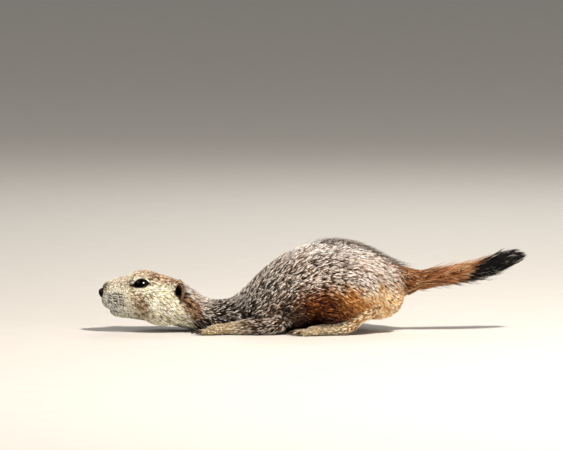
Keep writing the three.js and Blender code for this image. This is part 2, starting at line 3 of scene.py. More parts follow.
import bpy
import numpy as np
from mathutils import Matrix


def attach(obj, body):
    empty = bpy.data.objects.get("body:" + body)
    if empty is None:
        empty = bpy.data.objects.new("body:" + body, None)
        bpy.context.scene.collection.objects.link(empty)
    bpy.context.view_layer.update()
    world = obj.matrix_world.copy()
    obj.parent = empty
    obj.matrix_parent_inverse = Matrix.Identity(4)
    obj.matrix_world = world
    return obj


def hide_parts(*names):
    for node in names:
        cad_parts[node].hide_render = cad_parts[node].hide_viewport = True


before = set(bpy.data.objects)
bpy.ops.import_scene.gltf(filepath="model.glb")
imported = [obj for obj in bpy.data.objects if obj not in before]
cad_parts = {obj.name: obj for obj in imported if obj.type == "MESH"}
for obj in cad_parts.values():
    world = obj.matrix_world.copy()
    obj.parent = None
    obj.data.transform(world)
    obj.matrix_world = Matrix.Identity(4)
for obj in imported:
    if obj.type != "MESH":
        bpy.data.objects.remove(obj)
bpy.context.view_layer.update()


# Skin
# One hide over head, neck, trunk, legs and the core of the tail, as the living animal has it.
# It follows muscle and bone, and lies under the tips of the coat by the coat's own depth, so
# that no joint shows between head, body and limbs. The mouth is a fold in it.

# A millimetre in the scene's metres, and the least height of the hide over the floor
MM = 0.001
FLOOR_GAP = 0.35
# The way to each side of the animal, with its name
SIDES = ((-1, "left"), (1, "right"))

# Stations along the body: x, height of the back, of the belly and of the widest place, half width
BODY = np.array([
    (-157.5, 39.2, 17.8, 27.0, 9.8), (-152.0, 41.9, 13.4, 25.0, 12.8), (-143.0, 44.1, 10.0, 24.5, 16.2),
    (-136.0, 46.6, 8.8, 25.0, 18.8), (-129.5, 47.6, 7.8, 25.0, 20.8), (-120.0, 44.8, 6.4, 23.0, 22.2),
    (-110.0, 41.6, 4.4, 21.0, 22.8), (-100.0, 37.2, 2.0, 18.0, 22.6), (-91.0, 30.6, 0.0, 15.0, 22.6),
    (-81.0, 25.6, -1.0, 12.5, 23.2), (-71.0, 25.1, -1.0, 12.0, 24.8), (-61.0, 27.4, -1.0, 13.5, 27.4),
    (-51.0, 35.4, -1.0, 16.0, 31.0), (-41.0, 45.8, -1.0, 19.0, 35.0), (-29.0, 55.9, -1.0, 22.5, 39.4),
    (-14.0, 64.6, 0.5, 26.0, 44.0), (1.0, 69.5, 2.5, 28.0, 47.0), (17.0, 71.2, 5.0, 30.0, 47.5),
    (33.0, 68.9, 7.0, 31.0, 44.5), (46.0, 63.9, 9.0, 33.0, 38.5), (58.0, 57.0, 12.0, 35.0, 30.0),
    (66.0, 52.0, 18.0, 37.0, 22.0), (71.0, 47.6, 28.0, 38.0, 13.0),
])
END_ROUNDING = 7.0
# Head and tail turn a little to one side: x where each starts and ends, and how far its end is aside
HEAD_TURN = {"start": -92.0, "end": -166.5, "aside": -4.0}
TAIL_TURN = {"start": 74.0, "end": 166.5, "aside": 6.0}

# Middle and radius of an eye, middle and radii of the nose's pad
EYE_AT = (-134.2, 11.6, 38.8)
EYE_RADIUS = 6.6
NOSE_AT = (-162.0, 0.0, 29.5)
NOSE_RADII = (4.8, 4.8, 4.4)
MUSCLES = [
    # centre, radii, pitch, width of the blend: lips, chin, cheek, brow, socket, blade, haunch, rump
    ((-153.5, 5.8, 23.5), (8.5, 5.6, 6.0), 0.0, 5.0),
    ((-150.0, 0.0, 15.4), (8.0, 7.0, 4.5), 0.0, 4.0),
    ((-116.0, 14.5, 17.5), (17.0, 9.5, 12.0), 0.1, 7.0),
    ((-131.5, 10.5, 42.4), (10.0, 5.0, 3.6), 0.0, 4.0),
    (EYE_AT, (8.1, 7.7, 7.3), 0.0, 2.5),
    ((-33.0, 23.5, 25.0), (16.0, 13.0, 19.0), -0.4, 9.0),
    ((29.0, 31.0, 34.0), (30.0, 18.5, 21.0), 0.35, 9.0),
    ((52.5, 15.0, 28.5), (19.0, 17.0, 18.5), 0.0, 7.0),
]
BONES = [
    # start, end, radii, width of the blend: upper arm, shank
    ((-42.0, 27.0, 20.0), (-35.0, 33.0, 11.0), (11.0, 8.5), 6.0),
    ((13.0, 39.0, 17.5), (35.0, 34.5, 19.5), (10.5, 6.0), 5.0),
]
# The tail's core: x, height, radius
TAIL = np.array([
    (66.0, 38.6, 10.4), (86.0, 40.2, 6.8), (104.0, 43.2, 5.4), (120.0, 45.9, 4.9),
    (136.0, 49.6, 4.2), (151.0, 55.0, 3.0),
])

# The coat's depth at x
DEPTH = np.array([
    (-168.0, 0.5), (-158.0, 0.7), (-148.0, 1.0), (-134.0, 1.2), (-120.0, 1.7), (-104.0, 2.4),
    (-86.0, 3.0), (-60.0, 3.8), (-30.0, 4.3), (30.0, 4.4), (58.0, 4.2), (68.0, 3.2), (78.0, 1.6),
    (86.0, 0.4), (152.0, 0.3),
])
# The middle line from which the hide is drawn outwards, and the step between its rows there
SPINE = np.array([
    (-158.0, 27.6, 0.62), (-150.0, 26.5, 0.62), (-128.0, 26.0, 0.65), (-108.0, 21.5, 0.7),
    (-91.0, 15.5, 0.85), (-75.0, 12.5, 1.0), (-60.0, 14.5, 1.0), (-41.0, 21.0, 1.1), (-14.0, 31.0, 1.15),
    (17.0, 37.0, 1.15), (46.0, 38.0, 1.1), (60.0, 38.3, 0.7), (68.0, 38.8, 0.45), (78.0, 39.6, 0.5),
    (88.0, 40.5, 1.1), (104.0, 43.2, 1.3), (120.0, 45.9, 1.3), (136.0, 49.6, 1.3), (149.0, 54.2, 1.3),
])
# Columns round the hide, and rows of the fans of rays at the nose and at the end of the tail
ROUND_HIDE = 200
NOSE_CAP = 22
TAIL_CAP = 8
# Longer than any way from the spine to the outside of the coat
FARTHEST = 75.0

# The mouth on one side, from the middle of the lips to the corner, and the split under the nose
MOUTH = [(-162.8, 0.0, 21.2), (-162.5, 1.9, 20.6), (-161.1, 4.1, 19.3), (-157.9, 5.6, 18.0),
         (-155.0, 6.9, 16.9), (-152.2, 7.9, 16.0), (-148.5, 8.6, 15.3)]
SPLIT = [(-163.9, 0.0, 26.4), (-163.9, 0.0, 24.2), (-163.5, 0.0, 22.4), (-162.8, 0.0, 21.2)]
# The parting of the lips, the lower lip's edge and the split: how far the hide moves out, and over what
# half width
PARTING, LOWER_LIP, LIP_SPLIT = (-0.9, 0.75), (0.45, 1.1), (-0.5, 0.6)


def rows_at(rows, x):
    """Sizes of a table at x: a cubic curve through its rows, each slope taken over its neighbours."""
    at, value = rows[:, 0], rows[:, 1:]
    order = np.arange(len(at))
    before, after = np.maximum(order - 1, 0), np.minimum(order + 1, len(at) - 1)
    slope = (value[after] - value[before]) / (at[after] - at[before])[:, None]
    i = np.clip(np.searchsorted(at, x) - 1, 0, len(at) - 2)
    span = (at[i + 1] - at[i])[..., None]
    t = np.clip((np.asarray(x) - at[i])[..., None] / span, 0.0, 1.0)
    return ((2 * t**3 - 3 * t**2 + 1) * value[i] + (t**3 - 2 * t**2 + t) * span * slope[i]
            + (3 * t**2 - 2 * t**3) * value[i + 1] + (t**3 - t**2) * span * slope[i + 1])


def unit(v):
    """Vectors brought to length 1."""
    return v / np.maximum(np.linalg.norm(v, axis=-1, keepdims=True), 1e-9)


def round_turn(count):
    """Angles once round, in equal steps."""
    return np.linspace(0.0, 2.0 * math.pi, count, endpoint=False)


def aside(x):
    """How far the body's middle lies beside y = 0: it grows as the square of the way past each turn."""
    total = np.zeros_like(np.asarray(x, dtype=float))
    for turn in (HEAD_TURN, TAIL_TURN):
        way = (x - turn["start"]) / (turn["end"] - turn["start"])
        total = total + turn["aside"] * np.maximum(way, 0.0) ** 2
    return total


def blended(a, b, soft):
    """The smaller of two distances, less (soft - |a - b|)^2 / 4 soft where they are close."""
    h = np.maximum(soft - np.abs(a - b), 0.0)
    return np.minimum(a, b) - h * h / (4.0 * soft)


def egg_distance(p, centre, radii, pitch=0.0):
    """About how far points lie outside an egg: k (k - 1) / |q / r^2| with k = |q / r|."""
    c, s = math.cos(pitch), math.sin(pitch)
    d = p - np.array(centre)
    q = np.stack([c * d[..., 0] + s * d[..., 2], d[..., 1], -s * d[..., 0] + c * d[..., 2]], -1)
    k = np.linalg.norm(q / np.array(radii), axis=-1)
    return k * (k - 1.0) / np.maximum(np.linalg.norm(q / np.square(radii), axis=-1), 1e-6)


def limb_distance(p, start, end, radii):
    """How far points lie outside a round limb between two ends, with a radius at each."""
    start = np.array(start)
    axis = np.array(end) - start
    t = np.clip((p - start) @ axis / (axis @ axis), 0.0, 1.0)
    radius = radii[0] + t * (radii[1] - radii[0])
    return np.linalg.norm(p - start - t[..., None] * axis, axis=-1) - radius


def barrel_distance(p):
    """How far points lie outside sections of two half ellipses, rounded off beyond both ends."""
    at = np.clip(p[..., 0], BODY[0, 0], BODY[-1, 0])
    top, low, wide, half = np.moveaxis(rows_at(BODY, at), -1, 0)
    height = np.abs(np.where(p[..., 2] > wide, top, low) - wide) - END_ROUNDING
    half = half - END_ROUNDING
    dy, dz = np.abs(p[..., 1]), p[..., 2] - wide
    k = np.hypot(dy / half, dz / height)
    across = k * (k - 1.0) / np.maximum(np.hypot(dy / half**2, dz / height**2), 1e-6)
    beyond = np.abs(p[..., 0] - at)
    return np.where(beyond > 0, np.hypot(beyond, np.maximum(across, 0.0)), across) - END_ROUNDING


def beside(p):
    """How far places lie beside the animal's middle line."""
    return p[..., 1] - aside(p[..., 0])


def mirrored(p):
    """Places brought to one side of the animal, and measured from its middle line."""
    return np.stack([p[..., 0], np.abs(beside(p)), p[..., 2]], -1)


def placed(p, side):
    """Places measured from the middle line, put on their side of the animal."""
    p = np.asarray(p)
    return np.stack([p[..., 0], side * p[..., 1] + aside(p[..., 0]), p[..., 2]], -1)


def coat_distance(p):
    """How far points lie outside the animal at the tips of its coat, in millimetres."""
    q = mirrored(p)
    d = barrel_distance(q)
    for centre, radii, pitch, soft in MUSCLES:
        d = blended(d, egg_distance(q, centre, radii, pitch), soft)
    for start, end, radii, soft in BONES:
        d = blended(d, limb_distance(q, start, end, radii), soft)
    tail = np.full(d.shape, np.inf)
    for a, b in zip(TAIL[:-1], TAIL[1:]):
        tail = np.minimum(tail, limb_distance(q, (a[0], 0, a[1]), (b[0], 0, b[1]), (a[2], b[2])))
    return blended(d, tail, 8.0)


def slope_of(p):
    """Unit direction in which the distance from the animal grows."""
    step = 0.15 * np.eye(3)
    grown = [coat_distance(p + s) - coat_distance(p - s) for s in step]
    return unit(np.stack(grown, -1))


def halved(is_inside, shape, reach, rounds):
    """How far each way out stays inside: the stretch from 0 to `reach`, halved again and again."""
    low, high = np.zeros(shape), np.full(shape, reach)
    for _ in range(rounds):
        middle = 0.5 * (low + high)
        inside = is_inside(middle)
        low, high = np.where(inside, middle, low), np.where(inside, high, middle)
    return low


def coat_depth(x):
    """How deep the coat is at x, from the skin to the tips."""
    return rows_at(DEPTH, x)[..., 0]


def from_hide(p):
    """How far points lie outside the hide, which is the coat's depth further in than the coat's tips."""
    return coat_distance(p) + coat_depth(p[..., 0])


def line_distance(p, points):
    """Least distance from each point to a line drawn through a few places."""
    return np.min([limb_distance(p, a, b, (0.0, 0.0)) for a, b in zip(points[:-1], points[1:])], axis=0)


def from_lips(p):
    """Distance from the parting of the lips and from the split above it, on either side of the head."""
    q = mirrored(p)
    return np.minimum(line_distance(q, MOUTH), line_distance(q, SPLIT) + 0.3)


def from_nose(p):
    """Distance from the bare pad of the nose."""
    return egg_distance(mirrored(p), NOSE_AT, NOSE_RADII)


def ramp(v, start, end):
    """0 at start, 1 at end, smooth between: 3t^2 - 2t^3."""
    t = np.clip((np.asarray(v) - start) / (end - start), 0.0, 1.0)
    return t * t * (3.0 - 2.0 * t)


def hide_grid():
    """Points of the hide: rays from the spine, fanned out at both ends, to where they leave the hide.
    The lines of the mouth move it by bell curves of the distance from them. Rows run from nose to
    tail, columns round the body from the right side over the back."""
    xs = [SPINE[0, 0]]
    while xs[-1] < SPINE[-1, 0]:
        xs.append(xs[-1] + float(rows_at(SPINE, np.array(xs[-1]))[1]))
    lean = np.concatenate([
        np.linspace(0.03, 0.5 * math.pi, NOSE_CAP, endpoint=False), np.full(len(xs), 0.5 * math.pi),
        np.linspace(0.5 * math.pi, math.pi - 0.1, TAIL_CAP + 1)[1:],
    ])
    xs = np.concatenate([np.full(NOSE_CAP, xs[0]), xs, np.full(TAIL_CAP, xs[-1])])
    start = np.stack([xs, aside(xs), rows_at(SPINE, xs)[:, 0]], -1)[:, None, :]
    lean, turn = lean[:, None], round_turn(ROUND_HIDE)
    out = np.stack(np.broadcast_arrays(
        -np.cos(lean), np.sin(lean) * np.cos(turn), np.sin(lean) * np.sin(turn)), -1)
    length = halved(lambda way: from_hide(start + out * way[..., None]) < 0, out.shape[:2],
                    reach=FARTHEST, rounds=18)
    p = start + out * length[..., None]
    lower_lip = [(x + 0.5, y, z - 1.6) for x, y, z in MOUTH]
    fold = 0.0
    for line, (moved, half) in ((lower_lip, LOWER_LIP), (MOUTH, PARTING), (SPLIT, LIP_SPLIT)):
        fold = fold + moved * np.exp(-((line_distance(mirrored(p), line) / half) ** 2))
    p = p + slope_of(p) * fold[..., None]
    p[..., 2] = np.maximum(p[..., 2], FLOOR_GAP)
    return p


def wrapped_quads(bands, count, cols, window, across, up):
    """Corner lists of the quads between `count` rows whose columns meet, and each corner's place on the
    unwrap. With as many bands as rows the last row meets the first too."""
    i, j = np.meshgrid(np.arange(bands), np.arange(cols), indexing="ij")
    corners = ((0, 0), (1, 0), (1, 1), (0, 1))
    quads = np.stack([(i + b) % count * cols + (j + a) % cols for a, b in corners], -1)
    places = [np.stack([window[0] + across * (j + a), window[1] + up * (i + b)], -1) for a, b in corners]
    return quads.reshape(-1, 4), np.stack(places, -2).reshape(-1, 4, 2)


def closed_grid(rows, window):
    """Quads of a grid whose columns meet, with a pole at both ends, and its place on the unwrap: columns
    across the window, rows up it. Gives points, quads and triangles as corner lists, and corner places."""
    count, cols = rows.shape[:2]
    points = np.concatenate([rows.reshape(-1, 3), rows[0].mean(0)[None], rows[-1].mean(0)[None]])
    u0, v0, u1, v1 = window
    across, up = (u1 - u0) / cols, (v1 - v0) / (count + 1)
    quads, quad_uv = wrapped_quads(count - 1, count, cols, (u0, v0 + up), across, up)
    ring = np.arange(cols)
    tris, tri_uv = [], []
    for a, b, row, pole, v, tip in ((1, 0, 0, count * cols, v0 + up, v0),
                                    (0, 1, count - 1, count * cols + 1, v1 - up, v1)):
        tris.append(np.stack([row * cols + (ring + a) % cols, row * cols + (ring + b) % cols,
                              np.full(cols, pole)], -1))
        tri_uv.append(np.stack([
            np.stack([u0 + across * (ring + step), np.full(cols, height)], -1)
            for step, height in ((a, v), (b, v), (0.5, tip))], -2))
    return points, quads, np.concatenate(tris), quad_uv, np.concatenate(tri_uv)


def facing_out(part):
    """The part with its corner lists turned round where the volume they enclose would be negative: the
    sum of corner a times the cross product of b and c, and of c and d."""
    points, quads, tris, quad_uv, tri_uv = part
    volume = 0.0
    for faces in (quads, tris):
        a, *others = np.moveaxis(points[faces], 1, 0)
        volume += sum(np.sum(a * np.cross(b, c)) for b, c in zip(others, others[1:]))
    if volume >= 0.0:
        return part
    return points, quads[:, ::-1], tris[:, ::-1], quad_uv[:, ::-1], tri_uv[:, ::-1]


def mesh_piece(name, parts, material, colours=None):
    """One mesh object from several closed grids, in millimetres, with smooth faces, the map OFBake, its
    material and, if given, a colour at each point."""
    points, loops, uvs, sizes, base = [], [], [], [], 0
    for verts, quads, tris, quad_uv, tri_uv in map(facing_out, parts):
        points.append(verts)
        loops += [(quads + base).ravel(), (tris + base).ravel()]
        uvs += [quad_uv.reshape(-1, 2), tri_uv.reshape(-1, 2)]
        sizes += [np.full(len(quads), 4), np.full(len(tris), 3)]
        base += len(verts)
    points, loops = np.concatenate(points), np.concatenate(loops)
    sizes = np.concatenate(sizes)
    mesh = bpy.data.meshes.new(name)
    mesh.vertices.add(len(points))
    mesh.vertices.foreach_set("co", (points * MM).astype(np.float32).ravel())
    mesh.loops.add(len(loops))
    mesh.loops.foreach_set("vertex_index", loops.astype(np.int32))
    mesh.polygons.add(len(sizes))
    mesh.polygons.foreach_set("loop_start", (np.cumsum(sizes) - sizes).astype(np.int32))
    mesh.polygons.foreach_set("loop_total", sizes.astype(np.int32))
    mesh.update(calc_edges=True)
    mesh.polygons.foreach_set("use_smooth", np.ones(len(sizes), dtype=bool))
    layer = mesh.uv_layers.new(name="OFBake")
    layer.data.foreach_set("uv", np.concatenate(uvs).astype(np.float32).ravel())
    if colours is not None:
        shade = mesh.color_attributes.new("hair_colour", "FLOAT_COLOR", "POINT")
        rgba = np.concatenate([colours, np.ones((len(colours), 1))], 1)
        shade.data.foreach_set("color", rgba.astype(np.float32).ravel())
    mesh.materials.append(material)
    piece = bpy.data.objects.new(name, mesh)
    bpy.context.scene.collection.objects.link(piece)
    return piece


def linear(hex_colour):
    """An sRGB hex colour as linear red, green and blue."""
    c = np.array([int(hex_colour[i:i + 2], 16) for i in (1, 3, 5)]) / 255.0
    return np.where(c <= 0.04045, c / 12.92, ((c + 0.055) / 1.055) ** 2.4)


def add_node(tree, kind, settings=None, **links):
    """Adds a shader node with its settings; each link is a value or another node's output."""
    node = tree.nodes.new(kind)
    for key, value in (settings or {}).items():
        setattr(node, key, value)
    for key, value in links.items():
        socket = node.inputs[int(key[1:])] if key[0] == "i" and key[1:].isdigit() else node.inputs[
            key.replace("_", " ")]
        if isinstance(value, bpy.types.NodeSocket):
            tree.links.new(value, socket)
        else:
            socket.default_value = value
    return node


def start_material(name):
    """An empty material, its node tree, and the object's own coordinates in it."""
    material = bpy.data.materials.new(name)
    material.use_nodes = True
    tree = material.node_tree
    tree.nodes.clear()
    return material, tree, add_node(tree, "ShaderNodeTexCoord").outputs["Object"]


def noise(tree, place, size_mm, detail, **links):
    """A cloudy share from 0 to 1 in patches of a size in millimetres."""
    return add_node(tree, "ShaderNodeTexNoise", Vector=place, Scale=1.0 / (size_mm * MM), Detail=detail,
                    **links).outputs["Fac"]


def end_material(tree, colour, roughness, **links):
    """The shader and the output that close a material."""
    shader = add_node(tree, "ShaderNodeBsdfPrincipled", Base_Color=colour, Roughness=roughness, **links)
    add_node(tree, "ShaderNodeOutputMaterial", Surface=shader.outputs[0])


# The coat's colours, each as dark hairs, main hairs and pale tips, with the shares of dark and of
# pale hairs among them
PELAGE = {
    "back": ("#22130D", "#9A755B", "#FFFEFA", 0.34, 0.60),
    "side": ("#1A0E08", "#7E5A3E", "#FCF0E2", 0.41, 0.46),
    "shoulder": ("#100C0A", "#5A4C42", "#E8DED2", 0.47, 0.34),
    "flank": ("#1A0F09", "#574032", "#B79A7C", 0.44, 0.20),
    "thigh": ("#7A3E12", "#C27C34", "#F0C486", 0.28, 0.28),
    # The knee's own rust, darkened further by painted shade low on the haunch
    "knee_rust_and_shade": ("#200B03", "#6C330E", "#BC7836", 0.42, 0.15),
    # Painted shadow under the belly, given as dark brown hair colours
    "painted_groin_shadow": ("#120702", "#43200C", "#8A5228", 0.44, 0.12),
    "loin": ("#6A4A36", "#CCAC90", "#FFFDF8", 0.28, 0.57),
    "rump": ("#A8682E", "#FACA88", "#FFF4DA", 0.18, 0.50),
    "belly": ("#A07A48", "#D8BA84", "#F5E8C8", 0.20, 0.35),
    "tail_root": ("#3A1B0B", "#8E5428", "#E0B88A", 0.32, 0.26),
    "tail": ("#44200F", "#A0663C", "#DCBA90", 0.28, 0.28),
    "tail_end": ("#050404", "#120E0D", "#B8AA9A", 0.50, 0.12),
    "face": ("#74603A", "#E8DDB8", "#FFFEF6", 0.24, 0.48),
    "lips": ("#6A6456", "#E8E4D2", "#FFFFFC", 0.20, 0.55),
    "muzzle": ("#7E6850", "#E2D3B8", "#FCF7EA", 0.26, 0.36),
    "bridge": ("#3E332B", "#8A7966", "#CDBFA9", 0.34, 0.26),
    "nose_rim": ("#120E0C", "#2C2420", "#5C5048", 0.45, 0.10),
    "crown": ("#3A2016", "#A4764E", "#F8E6CA", 0.45, 0.35),
    "cheek_mark": ("#40261A", "#A57E58", "#F0DEBC", 0.42, 0.30),
    "ear_mark": ("#301E17", "#845A3C", "#CFAF88", 0.42, 0.20),
    "neck": ("#0C0807", "#4E3B2E", "#F4EADC", 0.50, 0.27),
    "nape": ("#4A3932", "#BCA898", "#FFFAF2", 0.30, 0.48),
    # Painted shade in the opening of the ear, where the hide shows through
    "painted_ear_hole_shade": ("#040302", "#0A0706", "#1A1310", 0.50, 0.05),
    "feet": ("#8C6E48", "#E4CCA0", "#FFF7E6", 0.18, 0.42),
    "ear": ("#4E3524", "#A58760", "#E9D9B8", 0.26, 0.30),
}
PELAGE = {name: np.concatenate([linear(a), linear(b), linear(c), [dark, pale]])
          for name, (a, b, c, dark, pale) in PELAGE.items()}


def patch(x, z, centre, radii):
    """1 inside an oval mark on the side of the animal, falling to 0 at 1.6 of its radii."""
    return ramp(np.hypot((x - centre[0]) / radii[0], (z - centre[1]) / radii[1]), 1.6, 0.5)


# Row and place in the row of each whisker: five rows of six
WHISKER_ROW, WHISKER_COLUMN = np.divmod(np.arange(30), 6)


def whisker_roots():
    """Places x and z of the whiskers' roots on the side of the muzzle, in uneven rows that run back and a
    little down, each starting further back than the one above."""
    row, column = WHISKER_ROW, WHISKER_COLUMN
    uneven = 0.4 * np.sin(7.0 * row + 3.1 * column)
    return (-160.6 + 2.4 * column + 0.45 * row + uneven,
            30.8 - 1.9 * row - 0.3 * column + 0.35 * np.sin(5.0 * column + 2.0 * row))


def off_spots(p):
    """How much of a colour is left at each place: 0.15 on the dark spot at a whisker's root."""
    x, z = whisker_roots()
    away = np.min(np.hypot(p[:, :1] - x, p[:, 2:] - z), axis=1)
    return (1.0 - 0.85 * ramp(away, 0.75, 0.35))[:, None]


def pelage_at(p):
    """The coat's colours at each point: marks laid one over another on the back's colours, with painted shade
    on knee, groin, ear hole and in the mouth's creases.
    """
    x, z = p[:, 0], p[:, 2]
    wave = 1.6 * np.sin(0.31 * x + 0.9) + 1.4 * np.sin(0.53 * x + 0.4 * z)
    ragged = 1.0 * np.sin(1.3 * x + 0.7 * z) + 0.8 * np.sin(1.1 * z - 0.9 * x + 2.0)
    head = ramp(x, -88.0, -97.0)
    crown_line = 43.5 - 0.19 * (x + 148.0) + 0.5 * ragged
    tail_x = x - 1.1 * (z - np.interp(x, TAIL[:, 0], TAIL[:, 1]))
    marks = [
        ("side", ramp(z + wave, 70.0, 44.0) * ramp(x, 52.0, 16.0)),
        ("shoulder", ramp(x, -88.0, -70.0) * ramp(x + 0.5 * z + wave, 26.0, -24.0)),
        ("loin", patch(x, z + wave, (50.0, 51.0), (17.0, 11.0))),
        ("flank", ramp(z + wave, 34.0, 16.0) * ramp(x, -52.0, -20.0) * ramp(x, 66.0, 50.0)),
        ("rump", patch(x, z + wave, (57.0, 20.0), (26.0, 15.0))),
        ("thigh", patch(x + 0.3 * (z - 24.0), z + wave, (30.0, 21.0), (16.0, 14.0))),
        # Painted shade: the knee's rust darkened where the haunch is low
        ("knee_rust_and_shade", patch(x + 0.3 * (z - 24.0) + wave, z + wave, (9.0, 20.0), (18.0, 14.0))),
        # Painted shadow under the belly by the haunch
        ("painted_groin_shadow", patch(x, z, (6.0, 9.0), (22.0, 7.5))),
        ("belly", ramp(z, 8.0, 3.0) * ramp(x, 20.0, 36.0)),
        ("neck", ramp(x, -52.0, -68.0) * ramp(x, -100.0, -92.0)),
        ("face", head * ramp(x + 0.5 * z, -84.0, -92.0)),
        ("nape", ramp(x, -74.0, -88.0) * ramp(x, -105.0, -98.0) * ramp(z + 0.9 * (x + 100.0), 26.0, 31.0)),
        ("muzzle", ramp(x, -136.0, -146.0) * ramp(z + 0.5 * ragged, 35.0, 38.5)),
        ("crown", head * ramp(z - crown_line, -1.6, 1.4) * ramp(x, -149.0, -140.0) * ramp(x, -99.0, -106.0)),
        ("bridge", patch(x, z, (-163.0, 36.0), (3.4, 3.4))),
        ("lips", patch(x, z, (-155.0, 22.0), (9.0, 9.0))),
        ("nose_rim", ramp(from_nose(p), 1.5, 0.6)),
        ("cheek_mark", 0.8 * patch(x + ragged + 0.45 * (z - 25.0), z + ragged, (-135.0, 24.0), (5.5, 10.0))),
        ("ear_mark", patch(x + ragged + 0.7 * (z - 20.0), z + ragged, (-95.0, 20.0), (6.0, 9.0))),
        ("face", patch(x, z, (EYE_AT[0] - 0.5, EYE_AT[2] - 0.4), (8.4, 6.0)) * 0.9),
        # Painted shade on the hide in the opening of the ear
        ("painted_ear_hole_shade", patch(x, z, (-104.3, 31.6), (2.2, 3.8))),
        ("tail_root", ramp(x + 0.3 * (z - 40.0), 60.0, 76.0)),
        ("tail", ramp(x - 0.9 * (z - 40.0), 80.0, 96.0)),
        ("tail_end", ramp(tail_x, 121.0, 131.0)),
    ]
    mixed = np.repeat(PELAGE["back"][None], len(p), 0)
    for name, share in marks:
        mixed = mixed + share[:, None] * (PELAGE[name] - mixed)
    # Painted shade in the creases of the mouth: colours fall to 0.15 along the parting of the lips and the
    # split under the nose
    mixed[:, :9] *= 1.0 - 0.85 * ramp(from_lips(p), 1.1, 0.5)[:, None]
    return mixed


HIDE_WINDOW = (0.01, 0.22, 0.99, 0.99)
hide = hide_grid()
trunk_part = closed_grid(hide, HIDE_WINDOW)


def under_coat(pelage, shade, dark):
    """Colours of the hide under the coat: a share of the dark hairs' and the rest the main hairs', shaded."""
    return shade * (dark * pelage[:, 0:3] + (1.0 - dark) * pelage[:, 3:6])


def tube_grid(path, wide, high, cols):
    """Rings round a path: the middle, plus half the width times cosine across it, plus half the height
    times sine upwards. Nothing goes under the floor."""
    along = unit(np.gradient(path, axis=0))
    across = unit(np.cross(along, np.array([0.0, 0.0, 1.0])))
    rise = np.cross(across, along)
    turn = round_turn(cols)[None, :, None]
    rings = (path[:, None] + across[:, None] * wide[:, None, None] * np.cos(turn)
             + rise[:, None] * high[:, None, None] * np.sin(turn))
    rings[..., 2] = np.maximum(rings[..., 2], FLOOR_GAP)
    return rings


def along_path(places, sizes, count):
    """A smooth path through a few places, and the sizes at each, both as cubic curves of the way."""
    way = np.concatenate([[0.0], np.cumsum(np.linalg.norm(np.diff(places, axis=0), axis=1))])
    curve = rows_at(np.column_stack([way, places, sizes]), np.linspace(0.0, way[-1], count))
    return curve[:, :3], curve[:, 3:]


# Legs below elbow and hock: x, y, z, half width and half height along the limb, and then its toes.
# The far foot stands ahead of the near one by `far_ahead`; a toe's place across the foot grows by
# that place over TOE_SPREAD with each millimetre forwards.
FORELEG = np.array([
    (-17.0, 24.5, 13.5, 3.6, 3.6), (-28.0, 33.5, 9.5, 6.4, 6.2), (-36.0, 34.5, 7.4, 6.9, 6.4),
    (-50.0, 34.6, 6.2, 5.6, 5.2), (-64.0, 34.4, 5.0, 4.6, 4.2), (-69.0, 34.2, 4.6, 5.8, 4.0),
    (-75.0, 34.0, 4.2, 6.6, 3.8), (-80.5, 34.0, 3.4, 5.6, 2.8), (-82.5, 34.0, 2.9, 3.0, 1.4),
])
HINDLEG = np.array([
    (51.0, 27.0, 22.0, 3.6, 3.6), (42.0, 34.5, 17.5, 4.6, 4.6), (37.0, 35.5, 14.2, 4.2, 4.0),
    (31.0, 36.4, 9.0, 4.0, 3.9), (24.0, 37.6, 5.4, 4.3, 4.0), (16.0, 38.4, 4.4, 5.4, 3.9),
    (7.0, 39.0, 4.2, 7.2, 3.8), (-1.0, 39.0, 3.6, 7.0, 3.0), (-4.0, 39.0, 2.9, 4.0, 1.4),
])
FORE_TOES = {"root": -77.0, "spread": (-5.4, -1.9, 1.9, 5.2), "long": (9.0, 12.0, 11.5, 8.5), "radius": 2.0,
             "claw": 6.5, "claw_radius": 1.0, "middle": 34.0, "far_ahead": 4.0}
HIND_TOES = {"root": 2.0, "spread": (-6.6, -3.4, 0.0, 3.4, 6.4), "long": (9.5, 16.0, 18.0, 16.5, 11.0),
             "radius": 2.2, "claw": 5.5, "claw_radius": 1.05, "middle": 39.0, "far_ahead": 5.0}
TOE_SPREAD = 45.0
# A toe from root to tip: share of its length, rise in radii, thickness in radii
TOE = np.array([
    (-0.35, 0.1, 0.7), (-0.1, 0.35, 0.95), (0.2, 0.38, 0.9), (0.45, 0.34, 1.0), (0.62, 0.2, 0.84),
    (0.82, 0.0, 0.95), (0.94, -0.14, 0.72), (1.0, -0.2, 0.3),
])


def toe_tube(toes, side, across, way, z, wide, high, cols):
    """A tube beside the foot's middle line that goes a way forwards from the toes' root and spreads."""
    x = toes["root"] - (toes["far_ahead"] if side > 0 else 0.0) - way
    y = side * (toes["middle"] + across) + aside(x) + side * across / TOE_SPREAD * np.maximum(way, 0.0)
    path, size = along_path(np.stack([x, y, z], -1), np.stack([wide, high], -1), 14)
    return tube_grid(path, size[:, 0], size[:, 1], cols)


def limb_grids(leg, toes, side):
    """One leg from inside the body to the ends of its toes: a tube for leg and sole, one for each toe."""
    places, sizes = along_path(leg[:, :3], leg[:, 3:], 44)
    places = placed(places - np.array([toes["far_ahead"] if side > 0 else 0.0, 0.0, 0.0]), side)
    grids = [tube_grid(places, sizes[:, 0], sizes[:, 1], 28)]
    for across, long in zip(toes["spread"], toes["long"]):
        z = toes["radius"] * (1.05 + 0.5 * TOE[:, 1])
        thick = toes["radius"] * TOE[:, 2]
        grids.append(toe_tube(toes, side, across, TOE[:, 0] * long, z, thick, 0.95 * thick, 12))
    return grids


limbs = []
for side, _ in SIDES:
    for leg, toes in ((FORELEG, FORE_TOES), (HINDLEG, HIND_TOES)):
        limbs += limb_grids(leg, toes, side)
